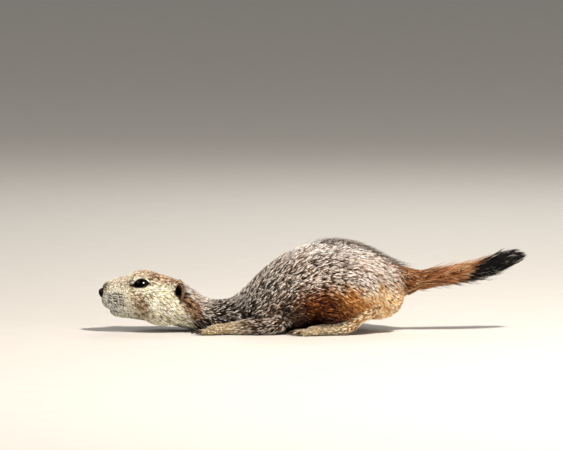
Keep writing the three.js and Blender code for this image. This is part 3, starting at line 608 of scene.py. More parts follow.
# Each limb has its own strip of the unwrap under the trunk's
LIMB_WINDOWS = [(0.01 + 0.98 * i / len(limbs), 0.01, 0.01 + 0.98 * (i + 0.9) / len(limbs), 0.2)
                for i in range(len(limbs))]
limb_parts = [closed_grid(grid, window) for grid, window in zip(limbs, LIMB_WINDOWS)]


# The opening between the lids about the middle of the eye, x and z: round behind, drawn out in
# front into the tear corner, and flat below
OPENING = np.array([
    (6.8, -0.8), (5.5, 1.1), (3.6, 2.6), (1.2, 3.3), (-1.2, 2.8), (-3.2, 1.4), (-5.1, -0.6), (-7.5, -2.4),
    (-5.4, -2.9), (-2.6, -3.1), (1.3, -3.1), (4.5, -2.4),
])
LID_POINTS = 84


def opening(grow):
    """The opening's outline as a closed cubic curve through its places, moved outwards by `grow`."""
    places = np.concatenate([OPENING[-2:], OPENING, OPENING[:3]])
    way = np.arange(-2.0, len(OPENING) + 3.0)
    at = np.linspace(0.0, len(OPENING), LID_POINTS, endpoint=False)
    curve = rows_at(np.column_stack([way, places]), at)
    along = np.roll(curve, -1, axis=0) - np.roll(curve, 1, axis=0)
    out = np.stack([along[:, 1], -along[:, 0]], -1)
    return curve + grow * unit(out)


def beyond_lids(x, z):
    """About how far a place on the side of the head lies outside the opening's edge."""
    edge = opening(0.0) - np.array([-0.5, -0.3])
    order = np.argsort(np.arctan2(edge[:, 1], edge[:, 0]))
    local = np.stack([x - EYE_AT[0] + 0.5, z - EYE_AT[2] + 0.3], -1)
    reach = np.interp(np.arctan2(local[..., 1], local[..., 0]), np.arctan2(edge[:, 1], edge[:, 0])[order],
                      np.hypot(edge[:, 0], edge[:, 1])[order], period=2.0 * math.pi)
    return np.hypot(local[..., 0], local[..., 1]) - reach


def socket_faces(part):
    """True for the faces of the hide that lie behind an eye's opening."""
    points, quads = part[0], part[1]
    middle = points[quads].mean(1)
    inside = beyond_lids(middle[:, 0], middle[:, 2]) < 0.5
    return inside & (np.abs(beside(middle)) > EYE_AT[1])


open_quads = ~socket_faces(trunk_part)
trunk_part = (trunk_part[0], trunk_part[1][open_quads], trunk_part[2], trunk_part[3][open_quads],
              trunk_part[4])
trunk_shades = under_coat(pelage_at(trunk_part[0]), shade=0.55, dark=0.4) * off_spots(trunk_part[0])


def limb_pelage(p):
    """The body's colours down to wrist and heel, then the cream of the feet."""
    fore = ramp(p[:, 0], -12.0, -20.0) * ramp(p[:, 0], -64.0, -42.0)
    hind = ramp(p[:, 0], 22.0, 36.0) * 0.7
    body = np.where(p[:, :1] < -16.0, PELAGE["side"], PELAGE["rump"])
    return PELAGE["feet"] + (fore + hind)[:, None] * (body - PELAGE["feet"])


feet_pelage = limb_pelage(np.concatenate([part[0] for part in limb_parts]))
feet_shades = under_coat(feet_pelage, shade=0.45, dark=0.5)


# The share of a smooth skin's gloss that hair has
HAIR_GLOSS = 0.1


def fur_material(name, roughness, streak_mm, depth_mm):
    """Hair: its colour comes from each hair's own place, with fine streaks along the lie of the coat.
    Dry hair is rough with little gloss."""
    material, tree, place = start_material(name)
    along = add_node(tree, "ShaderNodeMapping", Vector=place, Scale=(0.28, 1.0, 1.0))
    streaks = noise(tree, along.outputs[0], streak_mm, 2.0, Roughness=0.6)
    hair = add_node(tree, "ShaderNodeAttribute", {"attribute_name": "hair_colour"})
    value = add_node(tree, "ShaderNodeMapRange", Value=streaks, From_Min=0.3, From_Max=0.7,
                     To_Min=0.78, To_Max=1.18)
    shaded = add_node(tree, "ShaderNodeHueSaturation", Color=hair.outputs["Color"], Value=value.outputs[0])
    bump = add_node(tree, "ShaderNodeBump", Height=streaks, Distance=depth_mm * MM, Strength=0.8)
    end_material(tree, shaded.outputs[0], roughness, Specular_IOR_Level=HAIR_GLOSS, Normal=bump.outputs[0])
    return material


# Underfur lies flat on the hide in streaks about 0.7 mm wide
underfur = fur_material("short_underfur_on_hide", roughness=0.85, streak_mm=0.7, depth_mm=0.35)
skin_shades = np.concatenate([trunk_shades, feet_shades])
skin = mesh_piece("skin", [trunk_part] + limb_parts, underfur, skin_shades)
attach(skin, "root")
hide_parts("head", "neck", "torso", "thigh_left", "thigh_right", "foreleg_left", "foreleg_right",
            "forepaw_left", "forepaw_right", "hindfoot_left", "hindfoot_right", "tail")


# Eyes
# Dark, almost black globes that sit deep under the brow; the cornea is wet and glassy.
# Each turns in its socket behind the lids, so it is a piece of its own.

# The whole of an unwrap
WHOLE_WINDOW = (0.0, 0.0, 1.0, 1.0)


def ball_angles(rows, cols, gap):
    """Angles of a ball's grid: away from its pole, but for a small gap at both poles, and round it."""
    return np.meshgrid(np.linspace(gap, math.pi - gap, rows), round_turn(cols), indexing="ij")


def globe(side):
    """A globe with a slightly raised cornea towards the side it looks to: its radius is larger by a bell
    curve of the angle from that side."""
    lean, turn = ball_angles(rows=30, cols=48, gap=0.06)
    radius = EYE_RADIUS * (1.0 + 0.035 * np.exp(-((lean / 0.6) ** 2)))
    return placed(EYE_AT, side) + radius[..., None] * np.stack(
        [np.sin(lean) * np.cos(turn) * side, side * np.cos(lean), np.sin(lean) * np.sin(turn)], -1)


def two_tones(tree, share, dark, light):
    """A mix of two sRGB hex colours by a share from 0 to 1."""
    return add_node(tree, "ShaderNodeMix", {"data_type": "RGBA"}, Factor=share,
                    i6=(*linear(dark), 1.0), i7=(*linear(light), 1.0)).outputs[2]


# The iris is brown-black, in two close tones, under clear wet cornea of IOR 1.34
cornea, tree, place = start_material("wet_cornea_over_dark_iris")
iris = two_tones(tree, noise(tree, place, 0.9, 2.0), "#020101", "#0B0604")
end_material(tree, iris, roughness=0.08, IOR=1.34)
for side, name in SIDES:
    eye = mesh_piece(f"eyeball_{name}", [closed_grid(globe(side), WHOLE_WINDOW)], cornea)
    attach(eye, "root")
    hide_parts(f"eye_{name}")


# Eyelids
# Bare, dark rims of skin round the almond opening, drawn out into a tear corner in front.
# They lie on the globe and roll over into the furred skin of the face.

# A lid from inside the socket to under the fur: how far out from the opening's edge, the height over
# globe or hide, and the share of the hide in it
LID_ROLL = np.array([
    (-0.6, -0.5, 0.0), (-0.15, 0.15, 0.0), (0.0, 0.35, 0.0), (0.25, 0.5, 0.1), (0.5, 0.55, 0.35),
    (0.85, 0.5, 0.75), (1.2, 0.35, 1.0), (1.7, 0.0, 1.0), (2.5, -0.7, 1.0),
])
# How far out the bare rim reaches, and the lid's thickness
LID_RIM = 0.45
LID_THICK = 1.2


def lid_ring(side):
    """A rolled rim round the opening. At each angle it starts under the globe's surface, rises over it
    and passes to the hide's own surface."""
    rows = []
    for out, rise, share in LID_ROLL:
        x, z = opening(out).T
        p = np.stack([EYE_AT[0] + x, aside(EYE_AT[0] + x), EYE_AT[2] + z], -1)
        away = np.array([0.0, 1.0, 0.0])
        on_hide = halved(lambda way: from_hide(p + way[:, None] * away) < rise, len(x), reach=30.0, rounds=16)
        on_globe = EYE_AT[1] + np.sqrt(np.maximum((EYE_RADIUS + rise) ** 2 - x**2 - z**2, 0.1))
        y = (1.0 - share) * np.maximum(on_globe, on_hide - 0.9) + share * on_hide
        rows.append(placed(np.stack([p[:, 0], y, p[:, 2]], -1), side))
    rows = np.array(rows)
    return np.concatenate([rows, rows[::-1][1:-1] - np.array([0.0, side * LID_THICK, 0.0])])


def lid_colours():
    """Black-brown on the bare rim, then the fine hair that rings the eye, palest above it and darker
    at both corners."""
    out = np.concatenate([LID_ROLL[:, 0], LID_ROLL[::-1][1:-1, 0]])
    dark, pale, corner = (linear(c) for c in ("#120D0B", "#F2E8CC", "#6E5A44"))
    x, z = opening(0.0).T
    at_corner = np.maximum(ramp(x, -4.5, -7.0), ramp(x, 5.6, 6.8))[:, None]
    ring = pale + (corner - pale) * np.maximum(at_corner, 0.35 * ramp(z, -1.0, -2.6)[:, None])
    shade = dark + (ring - dark) * ramp(out, LID_RIM, LID_RIM + 0.35)[:, None, None]
    return shade.reshape(-1, 3)


def hoop(grid):
    """A grid that closes on itself both ways, as corner lists with places on a plain unwrap."""
    count, cols = grid.shape[:2]
    quads, uv = wrapped_quads(count, count, cols, (0.0, 0.0), 1.0 / cols, 1.0 / count)
    return grid.reshape(-1, 3), quads, np.zeros((0, 3), dtype=int), uv, np.zeros((0, 3, 2))


lid_skin = fur_material("bare_lid_skin_and_fine_hair", roughness=0.55, streak_mm=0.4, depth_mm=0.06)
for side, name in SIDES:
    lid = mesh_piece(f"eyelids_{name}", [hoop(lid_ring(side))], lid_skin, lid_colours())
    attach(lid, "root")


# Nose
# A bare, blackish pad at the end of the muzzle, with a comma-shaped nostril on each side and a
# shallow groove down its middle. Its skin is pebbled and slightly moist.

NOSTRIL = {"out": 0.6, "up": -0.05, "size": 0.26, "deep": 0.42}


def nose_pad():
    """An egg with its pole forwards and its upper edge drawn ahead; the radius shrinks at each nostril
    and along the groove, by bell curves of the distance across the pad."""
    lean, turn = ball_angles(rows=56, cols=72, gap=0.04)
    across, up = np.sin(lean) * np.cos(turn), np.sin(lean) * np.sin(turn)
    front = ramp(np.cos(lean), 0.0, 0.4)
    hole = np.exp(-(((np.abs(across) - NOSTRIL["out"]) / NOSTRIL["size"]) ** 2
                    + ((up - NOSTRIL["up"] - 0.35 * (np.abs(across) - 0.6)) / 0.2) ** 2))
    groove = 0.07 * np.exp(-((across / 0.09) ** 2)) * ramp(up, 0.5, 0.0)
    radius = 1.0 - front * (NOSTRIL["deep"] * hole + groove)
    shape = np.stack([-np.cos(lean) - 0.22 * up, -across, up], -1) * radius[..., None]
    return placed(NOSE_AT, 1) + shape * np.array(NOSE_RADII)


# Hairless skin, slightly moist: two close tones in pebbles about half a millimetre across
nose_skin, tree, place = start_material("moist_nose_skin")
pebbles = add_node(tree, "ShaderNodeTexVoronoi", Vector=place, Scale=1.0 / (0.45 * MM)).outputs["Distance"]
bump = add_node(tree, "ShaderNodeBump", Height=pebbles, Distance=0.12 * MM, Strength=0.7)
end_material(tree, two_tones(tree, pebbles, "#120E0C", "#2A211D"), roughness=0.5, Normal=bump.outputs[0])
nose = mesh_piece("nose_pad", [closed_grid(nose_pad(), WHOLE_WINDOW)], nose_skin)
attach(nose, "root")
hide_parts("nose")


# Ears
# Low, round cups of thin gristle under skin, rust-coloured inside with fine down, brown at the rim.
# They stand out little from the fur, and open outwards and forwards on a hole painted black as shade.

# Middle of an ear, its half width and half height, and the way it opens
EAR_AT = (-103.6, 18.6, 31.8)
EAR_HALF = (3.1, 5.4)
EAR_AXIS = np.array([-0.42, 0.9, 0.1])
# The cup's wall from the hole to the outer root: share of the half width, and height along its axis
EAR_WALL = np.array([(0.1, -3.4), (0.36, -3.2), (0.56, -2.0), (0.74, -0.4), (0.89, 0.9), (0.97, 1.5),
                     (1.02, 1.65), (1.06, 1.4), (1.08, 0.5), (1.04, -1.2), (0.8, -3.4), (0.3, -5.0)])


def ear_cup(side):
    """A wall carried round an oval: the half widths times its share, raised along the ear's axis, and
    higher at the back and top of the rim than in front."""
    turn = round_turn(56)
    axis = unit(EAR_AXIS)
    front = unit(np.cross(np.array([0.05, -0.1, 1.0]), axis))
    up = np.cross(axis, front)
    share, height = EAR_WALL[:, :1], EAR_WALL[:, 1:]
    forward = 1.5 * ramp(share, 0.9, 0.3)
    height = height + ramp(height, -1.0, 2.0) * (0.7 * np.cos(turn - 2.4) - 0.4)
    local = (np.array(EAR_AT) + axis * height[..., None]
             + front * (EAR_HALF[0] * share * np.cos(turn) + forward)[..., None]
             + up * (EAR_HALF[1] * share * np.sin(turn))[..., None])
    return placed(local, side)


def ear_colours(grid):
    """Black as painted shade in the hole and as a painted shadow of the rim along the front wall, rust on the
    rear wall, dull brown along the rim and a shade redder outside."""
    rows = np.linspace(0.0, 1.0, grid.shape[0])[:, None]
    rear_out_of_painted_shadow = ramp(np.cos(round_turn(grid.shape[1])), 0.5, -0.3)
    # The hole's black is painted shade; the front wall gets it too, as a painted shadow of the rim
    hole, rust, rim, outside = (linear(c) for c in ("#050302", "#744026", "#5A3E28", "#6A4E36"))
    shade = hole + (ramp(rows, 0.1, 0.3) * rear_out_of_painted_shadow)[..., None] * (rust - hole)
    shade = shade + ramp(rows, 0.46, 0.56)[..., None] * (rim - shade)
    shade = shade + ramp(rows, 0.6, 0.75)[..., None] * (outside - shade)
    shade = shade.reshape(-1, 3)
    return np.concatenate([shade, shade[:1], shade[-1:]])


ear_down = fur_material("downy_ear_skin", roughness=0.8, streak_mm=0.5, depth_mm=0.15)
for side, name in SIDES:
    grid = ear_cup(side)
    ear = mesh_piece(f"ear_cup_{name}", [closed_grid(grid, WHOLE_WINDOW)], ear_down, ear_colours(grid))
    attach(ear, "root")
    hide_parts(f"ear_{name}")


# Claws
# Dark, blunt digging claws of horn, one on each toe, longer on the forefeet.
# Each is rooted in the end of its toe and curves down to the floor.

# A claw from its root, this share of the way along its toe: share of its length, rise and thickness
CLAW_ROOT = 0.93
CLAW = np.array([(-0.35, 0.35, 0.8), (-0.1, 0.4, 1.0), (0.25, 0.4, 0.9), (0.55, 0.22, 0.72),
                 (0.8, -0.1, 0.5), (1.0, -0.5, 0.18)])
claw_parts = []
for side, _ in SIDES:
    for toes in (FORE_TOES, HIND_TOES):
        for across, long in zip(toes["spread"], toes["long"]):
            way = CLAW_ROOT * long + CLAW[:, 0] * toes["claw"]
            z = toes["radius"] + CLAW[:, 1] * toes["claw_radius"] * 2.0
            thick = toes["claw_radius"] * CLAW[:, 2]
            claw = toe_tube(toes, side, across, way, z, 0.8 * thick, thick, 10)
            claw_parts.append(closed_grid(claw, WHOLE_WINDOW))
# Horn is dark, with paler flecks about half a millimetre across where it is worn
horn, tree, place = start_material("dark_claw_horn")
flecks = two_tones(tree, noise(tree, place, 0.6, 3.0), "#1B1410", "#4A3A2E")
end_material(tree, flecks, roughness=0.35)
claws = mesh_piece("claws", claw_parts, horn)
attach(claws, "root")


# Coat of the head
# Short, close hair, finest on the muzzle and round the eyes, that grows back from the nose and
# down over the cheeks. Tufts are closed, tapered, three-sided slips rooted in the hide.

random = np.random.default_rng(1507)
# Tufts in a lock, the side of a tuft's own patch of the unwrap, and how low a hair may lie
LOCK_OF = 3
PATCH = 0.003
NEAREST = 0.2


def grid_normals(grid):
    """Unit normals of a grid whose columns meet: the cross product of its two differences, turned away
    from the middle of the rows."""
    along = np.gradient(grid, axis=0)
    around = np.roll(grid, -1, axis=1) - np.roll(grid, 1, axis=1)
    n = np.cross(around, along)
    return unit(n * np.sign(np.sum(n * (grid - grid.mean(1, keepdims=True)))))


def cell_areas(grid):
    """Area of each cell of a grid whose columns meet, from its first corner's two edges."""
    return np.linalg.norm(np.cross(grid[1:] - grid[:-1], (np.roll(grid, -1, axis=1) - grid)[:-1]), axis=-1)


def rooted(grid, window, count, density):
    """Roots spread over a closed grid: cells drawn in turn by area times density, one place in each draw.
    Gives the places, their normals and their places on the unwrap."""
    after = np.roll(grid, -1, axis=1)
    middle = (grid[:-1] + grid[1:] + after[:-1] + after[1:]) / 4
    area = cell_areas(grid)
    weight = (area * density(middle.reshape(-1, 3)).reshape(area.shape)).ravel()
    share = np.cumsum(weight) / weight.sum()
    cell = np.searchsorted(share, (np.arange(count) + random.random(count)) / count)
    row, col = np.divmod(np.minimum(cell, len(share) - 1), grid.shape[1])
    s, t = random.random((2, count, 1))
    normals = grid_normals(grid)

    def mixed(field):
        """A field's value at each root, from the four corners of its cell."""
        right = (col + 1) % grid.shape[1]
        top = field[row, col] * (1 - t) + field[row, right] * t
        return top * (1 - s) + (field[row + 1, col] * (1 - t) + field[row + 1, right] * t) * s

    u0, v0, u1, v1 = window
    u = u0 + (u1 - u0) * (col + t[:, 0]) / grid.shape[1]
    v = v0 + (v1 - v0) * (row + s[:, 0] + 1) / (grid.shape[0] + 1)
    return mixed(grid), unit(mixed(normals)), np.stack([u, v], -1)


def laid_on(n, way):
    """The part of a direction that lies in the surface: less its share along the normal."""
    return way - n * np.sum(way * n, axis=1, keepdims=True)


def lie_of(p, n, down, loose=0.1):
    """Direction in which hair lies: backwards, turned down by an angle, and laid on the surface."""
    swirl = 0.07 * np.sin(0.21 * p[:, 0] + 0.13 * p[:, 2]) + 0.04 * np.sin(0.47 * p[:, 2] - 0.3 * p[:, 0])
    angle = down + swirl + random.normal(0.0, loose, len(p))
    flat = laid_on(n, np.stack([np.cos(angle), np.zeros(len(p)), -np.sin(angle)], -1))
    return unit(flat + np.cross(n, flat) * random.normal(0.0, loose, (len(p), 1)))


def tripled(values):
    """Each root's value for all the tufts of its lock."""
    return np.repeat(values, LOCK_OF, axis=0)


def shared(low, high, count):
    """A random number for each lock, the same for all of its tufts."""
    return tripled(random.uniform(low, high, count // LOCK_OF))


def in_locks(p, n, uv, lie, apart=0.28):
    """Turns each root into a lock: tufts side by side, moved a little across and along the lie."""
    p, n, uv, lie = map(tripled, (p, n, uv, lie))
    across = np.cross(n, lie)
    lie = lie + across * random.normal(0.0, 0.05, (len(p), 1))
    shift = across * random.normal(0.0, apart, (len(p), 1)) + lie * random.normal(0.0, 0.45, (len(p), 1))
    return p + shift, n, uv, unit(lie)


def hair_shades(pelage):
    """Colours of each tuft at its root, its middle and its tip: dark, plain or pale hair by its share,
    mostly the same through a lock."""
    count = len(pelage)
    draw = np.where(random.random(count) < 0.85, shared(0.0, 1.0, count), random.random(count))[:, None]
    dark, main, pale = pelage[:, 0:3], pelage[:, 3:6], pelage[:, 6:9]
    is_dark, is_pale = draw < pelage[:, 9:10], draw > 1.0 - pelage[:, 10:11]
    tip = np.where(is_dark, 0.3 * main + 0.7 * dark, np.where(is_pale, pale, main))
    middle = np.where(is_dark, dark, np.where(is_pale, 0.7 * main + 0.3 * pale, main))
    value = shared(0.86, 1.14, count)[:, None] * random.normal(1.0, 0.1, (count, 1))
    return 0.15 * (dark + main), middle * value, tip * value


def along_hair(shades, s, to_middle, to_tip):
    """Colours at the shares s of a hair's length: the root's passes into the middle's over one stretch of
    shares, and that into the tip's over another."""
    shade, middle, tip = (tone[:, None] for tone in shades)
    for tone, (start, end) in ((middle, to_middle), (tip, to_tip)):
        mix = ramp(s, start, end)[None, :, None]
        shade = shade * (1 - mix) + tone * mix
    return shade


def slips(middle, side, up, wide, uv, shades, steps):
    """Closed three-sided slips along middle lines, as wide as the table says and pointed at the tip: half
    the width to either side, and 0.35 of it upwards. Gives the part and the colours of its points."""
    count, rings = middle.shape[:2]
    half = (0.5 * wide[:, None] * steps[:, 1])[..., None]
    ring = np.stack([middle - side * half, middle + up * half * 0.7, middle + side * half], 2)
    points = np.concatenate([ring[:, :-1].reshape(count, -1, 3), middle[:, -1:]], 1)
    points[..., 2] = np.maximum(points[..., 2], NEAREST)
    k, first, last = np.arange(3), 3 * np.arange(rings - 2)[:, None], 3 * (rings - 2)
    after = (k + 1) % 3
    quads = np.stack([first + k, first + after, first + 3 + after, first + 3 + k], -1).reshape(-1, 4)
    tris = np.concatenate([[[2, 1, 0]], np.stack([last + k, last + after, np.full(3, last + 3)], -1)])
    base = (np.arange(count) * (last + 4))[:, None, None]
    quads, tris = (quads + base).reshape(-1, 4), (tris + base).reshape(-1, 3)
    spot = np.stack(np.meshgrid((-0.5, 0.0, 0.5), steps[:-1, 0] - 0.5), -1).reshape(-1, 2)
    places = (uv[:, None] + PATCH * np.concatenate([spot, [[0.0, 0.5]]])).reshape(-1, 2)
    shade = np.concatenate([np.repeat(shades[:, :-1], 3, axis=1), shades[:, -1:]], 1)
    return (points.reshape(-1, 3), quads, tris, places[quads], places[tris]), shade.reshape(-1, 3)


def tuft_part(p, n, lie, uv, long, wide, rise, shades, steps, follow=True):
    """Slips from their roots along the lie. At the share s of its length a tuft's height over the skin is
    rise (1.8 s - 0.8 s^2), measured from the curved skin, or from a flat one unless `follow` is set."""
    s = steps[:, 0]
    middle = p[:, None] + lie[:, None] * (long[:, None] * s)[..., None]
    height = rise[:, None] * (1.8 * s - 0.8 * s**2) - 0.5 * (s == 0)
    if follow:
        depth = np.minimum(coat_depth(middle[..., 0]), coat_depth(p[:, :1]))
        height = height - depth - coat_distance(middle)
    middle = middle + n[:, None] * height[..., None]
    shades = along_hair(shades, s, to_middle=(0.05, 0.45), to_tip=(0.4, 0.8))
    return slips(middle, np.cross(n, lie)[:, None], n[:, None], wide, uv, shades, steps)


# A tuft from root to tip: share of its length, and of its width
SHORT_TUFT = np.array([(0.0, 0.8), (0.55, 1.0), (1.0, 0.0)])
LONG_TUFT = np.array([(0.0, 0.7), (0.35, 1.0), (0.72, 0.72), (1.0, 0.0)])

hair = fur_material("dry_guard_hair", roughness=0.7, streak_mm=0.9, depth_mm=0.05)


def coat_piece(name, parts):
    """One piece of the coat from its tufts, riding on the body."""
    shades = np.concatenate([shade for _, shade in parts])
    piece = mesh_piece(name, [part for part, _ in parts], hair, shades)
    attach(piece, "root")
    return piece


def on_side(p, side):
    """1 for places on one side of the animal's middle, and 0 on the other."""
    return (side * beside(p) > 0).astype(float)


def away_from_eyes(p):
    """0 in the opening of an eye and on its bare rims, 1 outside them."""
    return ramp(beyond_lids(p[:, 0], p[:, 2]), 0.7, 1.0)


def away_from_ears(p):
    """0 in the mouth of an ear and just in front of it, 1 outside."""
    ahead, up = p[:, 0] - EAR_AT[0] + 1.8, p[:, 2] - EAR_AT[2] + 0.4
    return ramp(np.hypot(ahead / (EAR_HALF[0] + 1.6), up / (EAR_HALF[1] + 0.5)), 0.85, 1.1)


# Tufts on one side of the head
HEAD_TUFTS = 16800
for side, name in SIDES:
    def density(p, side=side):
        """Closer on the muzzle, thin along the lips, none on eyes, ears and nose."""
        short = 1.0 + 0.9 * ramp(p[:, 0], -128.0, -150.0)
        return (on_side(p, side) * ramp(p[:, 0], -92.0, -96.0) * away_from_eyes(p) * away_from_ears(p)
                * ramp(from_nose(p), 0.5, 0.9) * short * (0.2 + 0.8 * ramp(from_lips(p), 0.4, 0.9)))

    p, n, uv = rooted(hide, HIDE_WINDOW, HEAD_TUFTS // LOCK_OF, density)
    down = 0.1 + 0.5 * ramp(p[:, 2], 36.0, 26.0) * ramp(p[:, 0], -162.0, -146.0)
    p, n, uv, lie = in_locks(p, n, uv, lie_of(p, n, down, loose=0.07))
    size = ramp(p[:, 0], -162.0, -118.0)
    size = np.where(away_from_eyes(p) < 0.99, 0.0, size)
    long = (1.7 + 4.2 * size) * shared(0.8, 1.2, len(p))
    wide = (0.32 + 0.14 * size) * random.uniform(0.8, 1.2, len(p))
    tips = p + long[:, None] * lie
    long = np.where(beyond_lids(tips[:, 0], tips[:, 2]) < 0.7, 0.35 * long, long)
    long = np.where((away_from_ears(tips) < 0.5) & (p[:, 0] < EAR_AT[0]), 0.4 * long, long)
    rise = coat_depth(p[:, 0]) * shared(0.5, 1.05, len(p)) * random.uniform(0.9, 1.05, len(p))
    shades = hair_shades(pelage_at(p + 0.5 * long[:, None] * lie))
    shades = [shade * off_spots(p + share * long[:, None] * lie)
              for shade, share in zip(shades, (0.0, 0.5, 1.0))]
    part = tuft_part(p, n, lie, uv, long, wide, rise, shades, SHORT_TUFT)
    coat_piece(f"coat_head_{name}", [part])


# The outside of each ear is furred too: hair from its root to just over the rim
EAR_TUFTS = 480
# The rows of the ear's wall that lie outside
EAR_OUTSIDE = slice(7, 11)
ear_parts = []
for side, _ in SIDES:
    outside = ear_cup(side)[EAR_OUTSIDE]
    p, n, uv = rooted(outside, (0.0, 0.6, 1.0, 0.85), EAR_TUFTS // LOCK_OF, lambda q: np.ones(len(q)))
    lie = unit(laid_on(n, EAR_AXIS * (1.0, side, 1.0)))
    p, n, uv, lie = in_locks(p, n, uv, lie, apart=0.12)
    long, wide = random.uniform(1.2, 2.2, len(p)), random.uniform(0.24, 0.34, len(p))
    shades = hair_shades(np.repeat(PELAGE["ear"][None], len(p), 0))
    ear_parts.append(tuft_part(p, n, lie, uv, long, wide, 0.25 * long, shades, SHORT_TUFT, follow=False))
coat_piece("coat_ears", ear_parts)


# Coat of the neck and body
# Dense, coarse hair with dark roots and pale, grizzled tips, longest over rump and flanks.
# It lies backwards, and turns down over shoulder, flank and thigh.

# How far the hair turns down at x: it runs up along the slope of the shoulders, down over the haunch
LIE = np.array([
    (-97.0, 0.4), (-84.0, 0.2), (-70.0, 0.0), (-56.0, -0.35), (-38.0, -0.65), (-14.0, -0.42), (4.0, 0.0),
    (20.0, 0.35), (39.0, 0.62), (58.0, 0.6), (72.0, 0.2), (84.0, -0.05),
])
# Lengths of the coat: x where each begins and ends, and the tufts on one side of it
COAT_LENGTHS = {
    "neck": (-97.0, -58.0, 5100),
    "shoulder": (-58.0, -14.0, 11400),
    "back": (-14.0, 26.0, 12900),
    "rump": (26.0, 84.0, 14100),
}
for length, (start, end, count) in COAT_LENGTHS.items():
    for side, name in SIDES:
        def density(p, side=side, start=start, end=end):
            """Even over this length on this side, thin near the floor."""
            inside = ((p[:, 0] >= start) & (p[:, 0] < end)).astype(float)
            hidden = 0.35 + 0.65 * ramp(p[:, 2], 0.8, 4.0)
            return on_side(p, side) * inside * hidden

        p, n, uv = rooted(hide, HIDE_WINDOW, count // LOCK_OF, density)
        p, n, uv, lie = in_locks(p, n, uv, lie_of(p, n, rows_at(LIE, p[:, 0])[:, 0]), apart=0.2)
        size = ramp(p[:, 0], -97.0, -40.0)
        long = (4.2 + 1.5 * size) * shared(0.8, 1.25, len(p))
        wide = (0.38 + 0.08 * size) * random.uniform(0.75, 1.25, len(p))
        rise = np.maximum(coat_depth(p[:, 0]), 1.2) * shared(0.5, 0.97, len(p))
        rise = rise * random.uniform(0.9, 1.03, len(p))
        shades = hair_shades(pelage_at(p + 0.7 * long[:, None] * lie))
        part = tuft_part(p, n, lie, uv, long, wide, rise, shades, SHORT_TUFT)
        coat_piece(f"coat_{length}_{name}", [part])


# Coat of the feet
# Very short, flat, cream hair down to the claws, over the top of the foot and each toe, longer and
# in the body's colours above wrist and heel.

FEET_TUFTS_PER_MM2 = 1.2


def bare_of_trunk(p):
    """Density of the hair of the feet: little under the sole, none where the leg runs inside the trunk."""
    return (from_hide(p) > -1.5) * (0.2 + 0.8 * ramp(p[:, 2], 0.5, 1.5))


feet_parts = []
for grid, window in zip(limbs, LIMB_WINDOWS):
    count = int(cell_areas(grid).sum() * FEET_TUFTS_PER_MM2 / LOCK_OF) * LOCK_OF
    p, n, uv = rooted(grid, window, count // LOCK_OF, bare_of_trunk)
    p, n, uv, lie = in_locks(p, n, uv, lie_of(p, n, down=0.1), apart=0.15)
    lie[:, 0] = -np.abs(lie[:, 0])
    lie = unit(laid_on(n, lie))
    leg = ramp(p[:, 0], -66.0, -50.0) * (p[:, 0] < -16.0) + ramp(p[:, 0], 14.0, 34.0)
    long = (1.6 + 3.0 * leg) * random.uniform(0.8, 1.25, count)
    wide = (0.37 + 0.1 * leg) * random.uniform(0.8, 1.25, count)
    rise = (0.42 + 1.2 * leg) * random.uniform(0.4, 1.1, count)
    shades = hair_shades(limb_pelage(p))
    feet_parts.append(tuft_part(p, n, lie, uv, long, wide, rise, shades, SHORT_TUFT, follow=False))
coat_piece("coat_feet", feet_parts)


# Brush of the tail
# Long, stiff hair in flat locks round a thin core, rust-coloured with pale tips, black at the end.
# The locks lie back along the tail and spread, widest two thirds of the way out.

# Outline of the locks' tips: x, height of the middle, half height and half width
BRUSH = np.array([
    (78.0, 39.4, 8.4, 9.2), (84.0, 39.9, 8.0, 9.0), (100.0, 42.4, 7.6, 9.2), (118.0, 45.2, 8.3, 10.4),
    (134.0, 48.4, 8.5, 10.8), (146.0, 52.9, 8.0, 9.6), (156.0, 56.7, 6.2, 7.2), (162.0, 58.5, 4.4, 4.8),
    (167.0, 59.2, 2.4, 2.6),
])
# Hairs of the brush, and stray ones that stand out further
BRUSH_TUFTS = 7500
STRAY_HAIRS = 390
# A hair of the brush from root to tip: share of its length, and of its width
LOCK = np.array([(0.0, 0.6), (0.35, 1.0), (0.7, 0.75), (1.0, 0.0)])


def brush_part(count, least, most, loose):
    """Hair from the core to the outline: at the share s of its length a hair has gone s of the way along
    the tail, and its place in the section has gone 1.7 s - 0.7 s^2 of the way from core to outline."""
    p, n, uv = rooted(hide, HIDE_WINDOW, count // LOCK_OF, lambda q: ramp(q[:, 0], 76.0, 84.0)
                      * (1.0 + 1.2 * ramp(q[:, 0], 120.0, 146.0)))
    p, n, uv = map(tripled, (p, n, uv))
    centre = np.stack([p[:, 0], aside(p[:, 0]), np.interp(p[:, 0], TAIL[:, 0], TAIL[:, 1])], -1)
    angle = np.arctan2(p[:, 2] - centre[:, 2], p[:, 1] - centre[:, 1]) + random.normal(0.0, 0.08, count)
    long = shared(11.0, 19.0, count) * random.uniform(0.9, 1.1, count)
    long = np.minimum(long, shared(157.0, 169.0, count) + random.uniform(-1.0, 1.0, count) - p[:, 0])
    s = LOCK[:, 0]
    x = p[:, :1] + 0.97 * long[:, None] * s
    reach = least + (most - least) * shared(0.0, 1.0, count) ** 1.6 * random.uniform(0.9, 1.1, count)
    reach = reach[:, None]
    outline = rows_at(BRUSH, x)
    spread = angle[:, None] + random.normal(0.0, loose, (count, 1)) * s**2
    out_y = aside(x) + reach * outline[..., 2] * np.cos(spread)
    out_z = outline[..., 0] + reach * outline[..., 1] * np.sin(spread)
    way = 1.7 * s - 0.7 * s**2
    core = rows_at(TAIL, x)
    in_y = aside(x) + 0.9 * core[..., 1] * np.cos(angle)[:, None]
    in_z = core[..., 0] + 0.9 * core[..., 1] * np.sin(angle)[:, None]
    middle = np.stack([x, in_y + way * (out_y - in_y), in_z + way * (out_z - in_z)], -1)
    return p, n, uv, middle


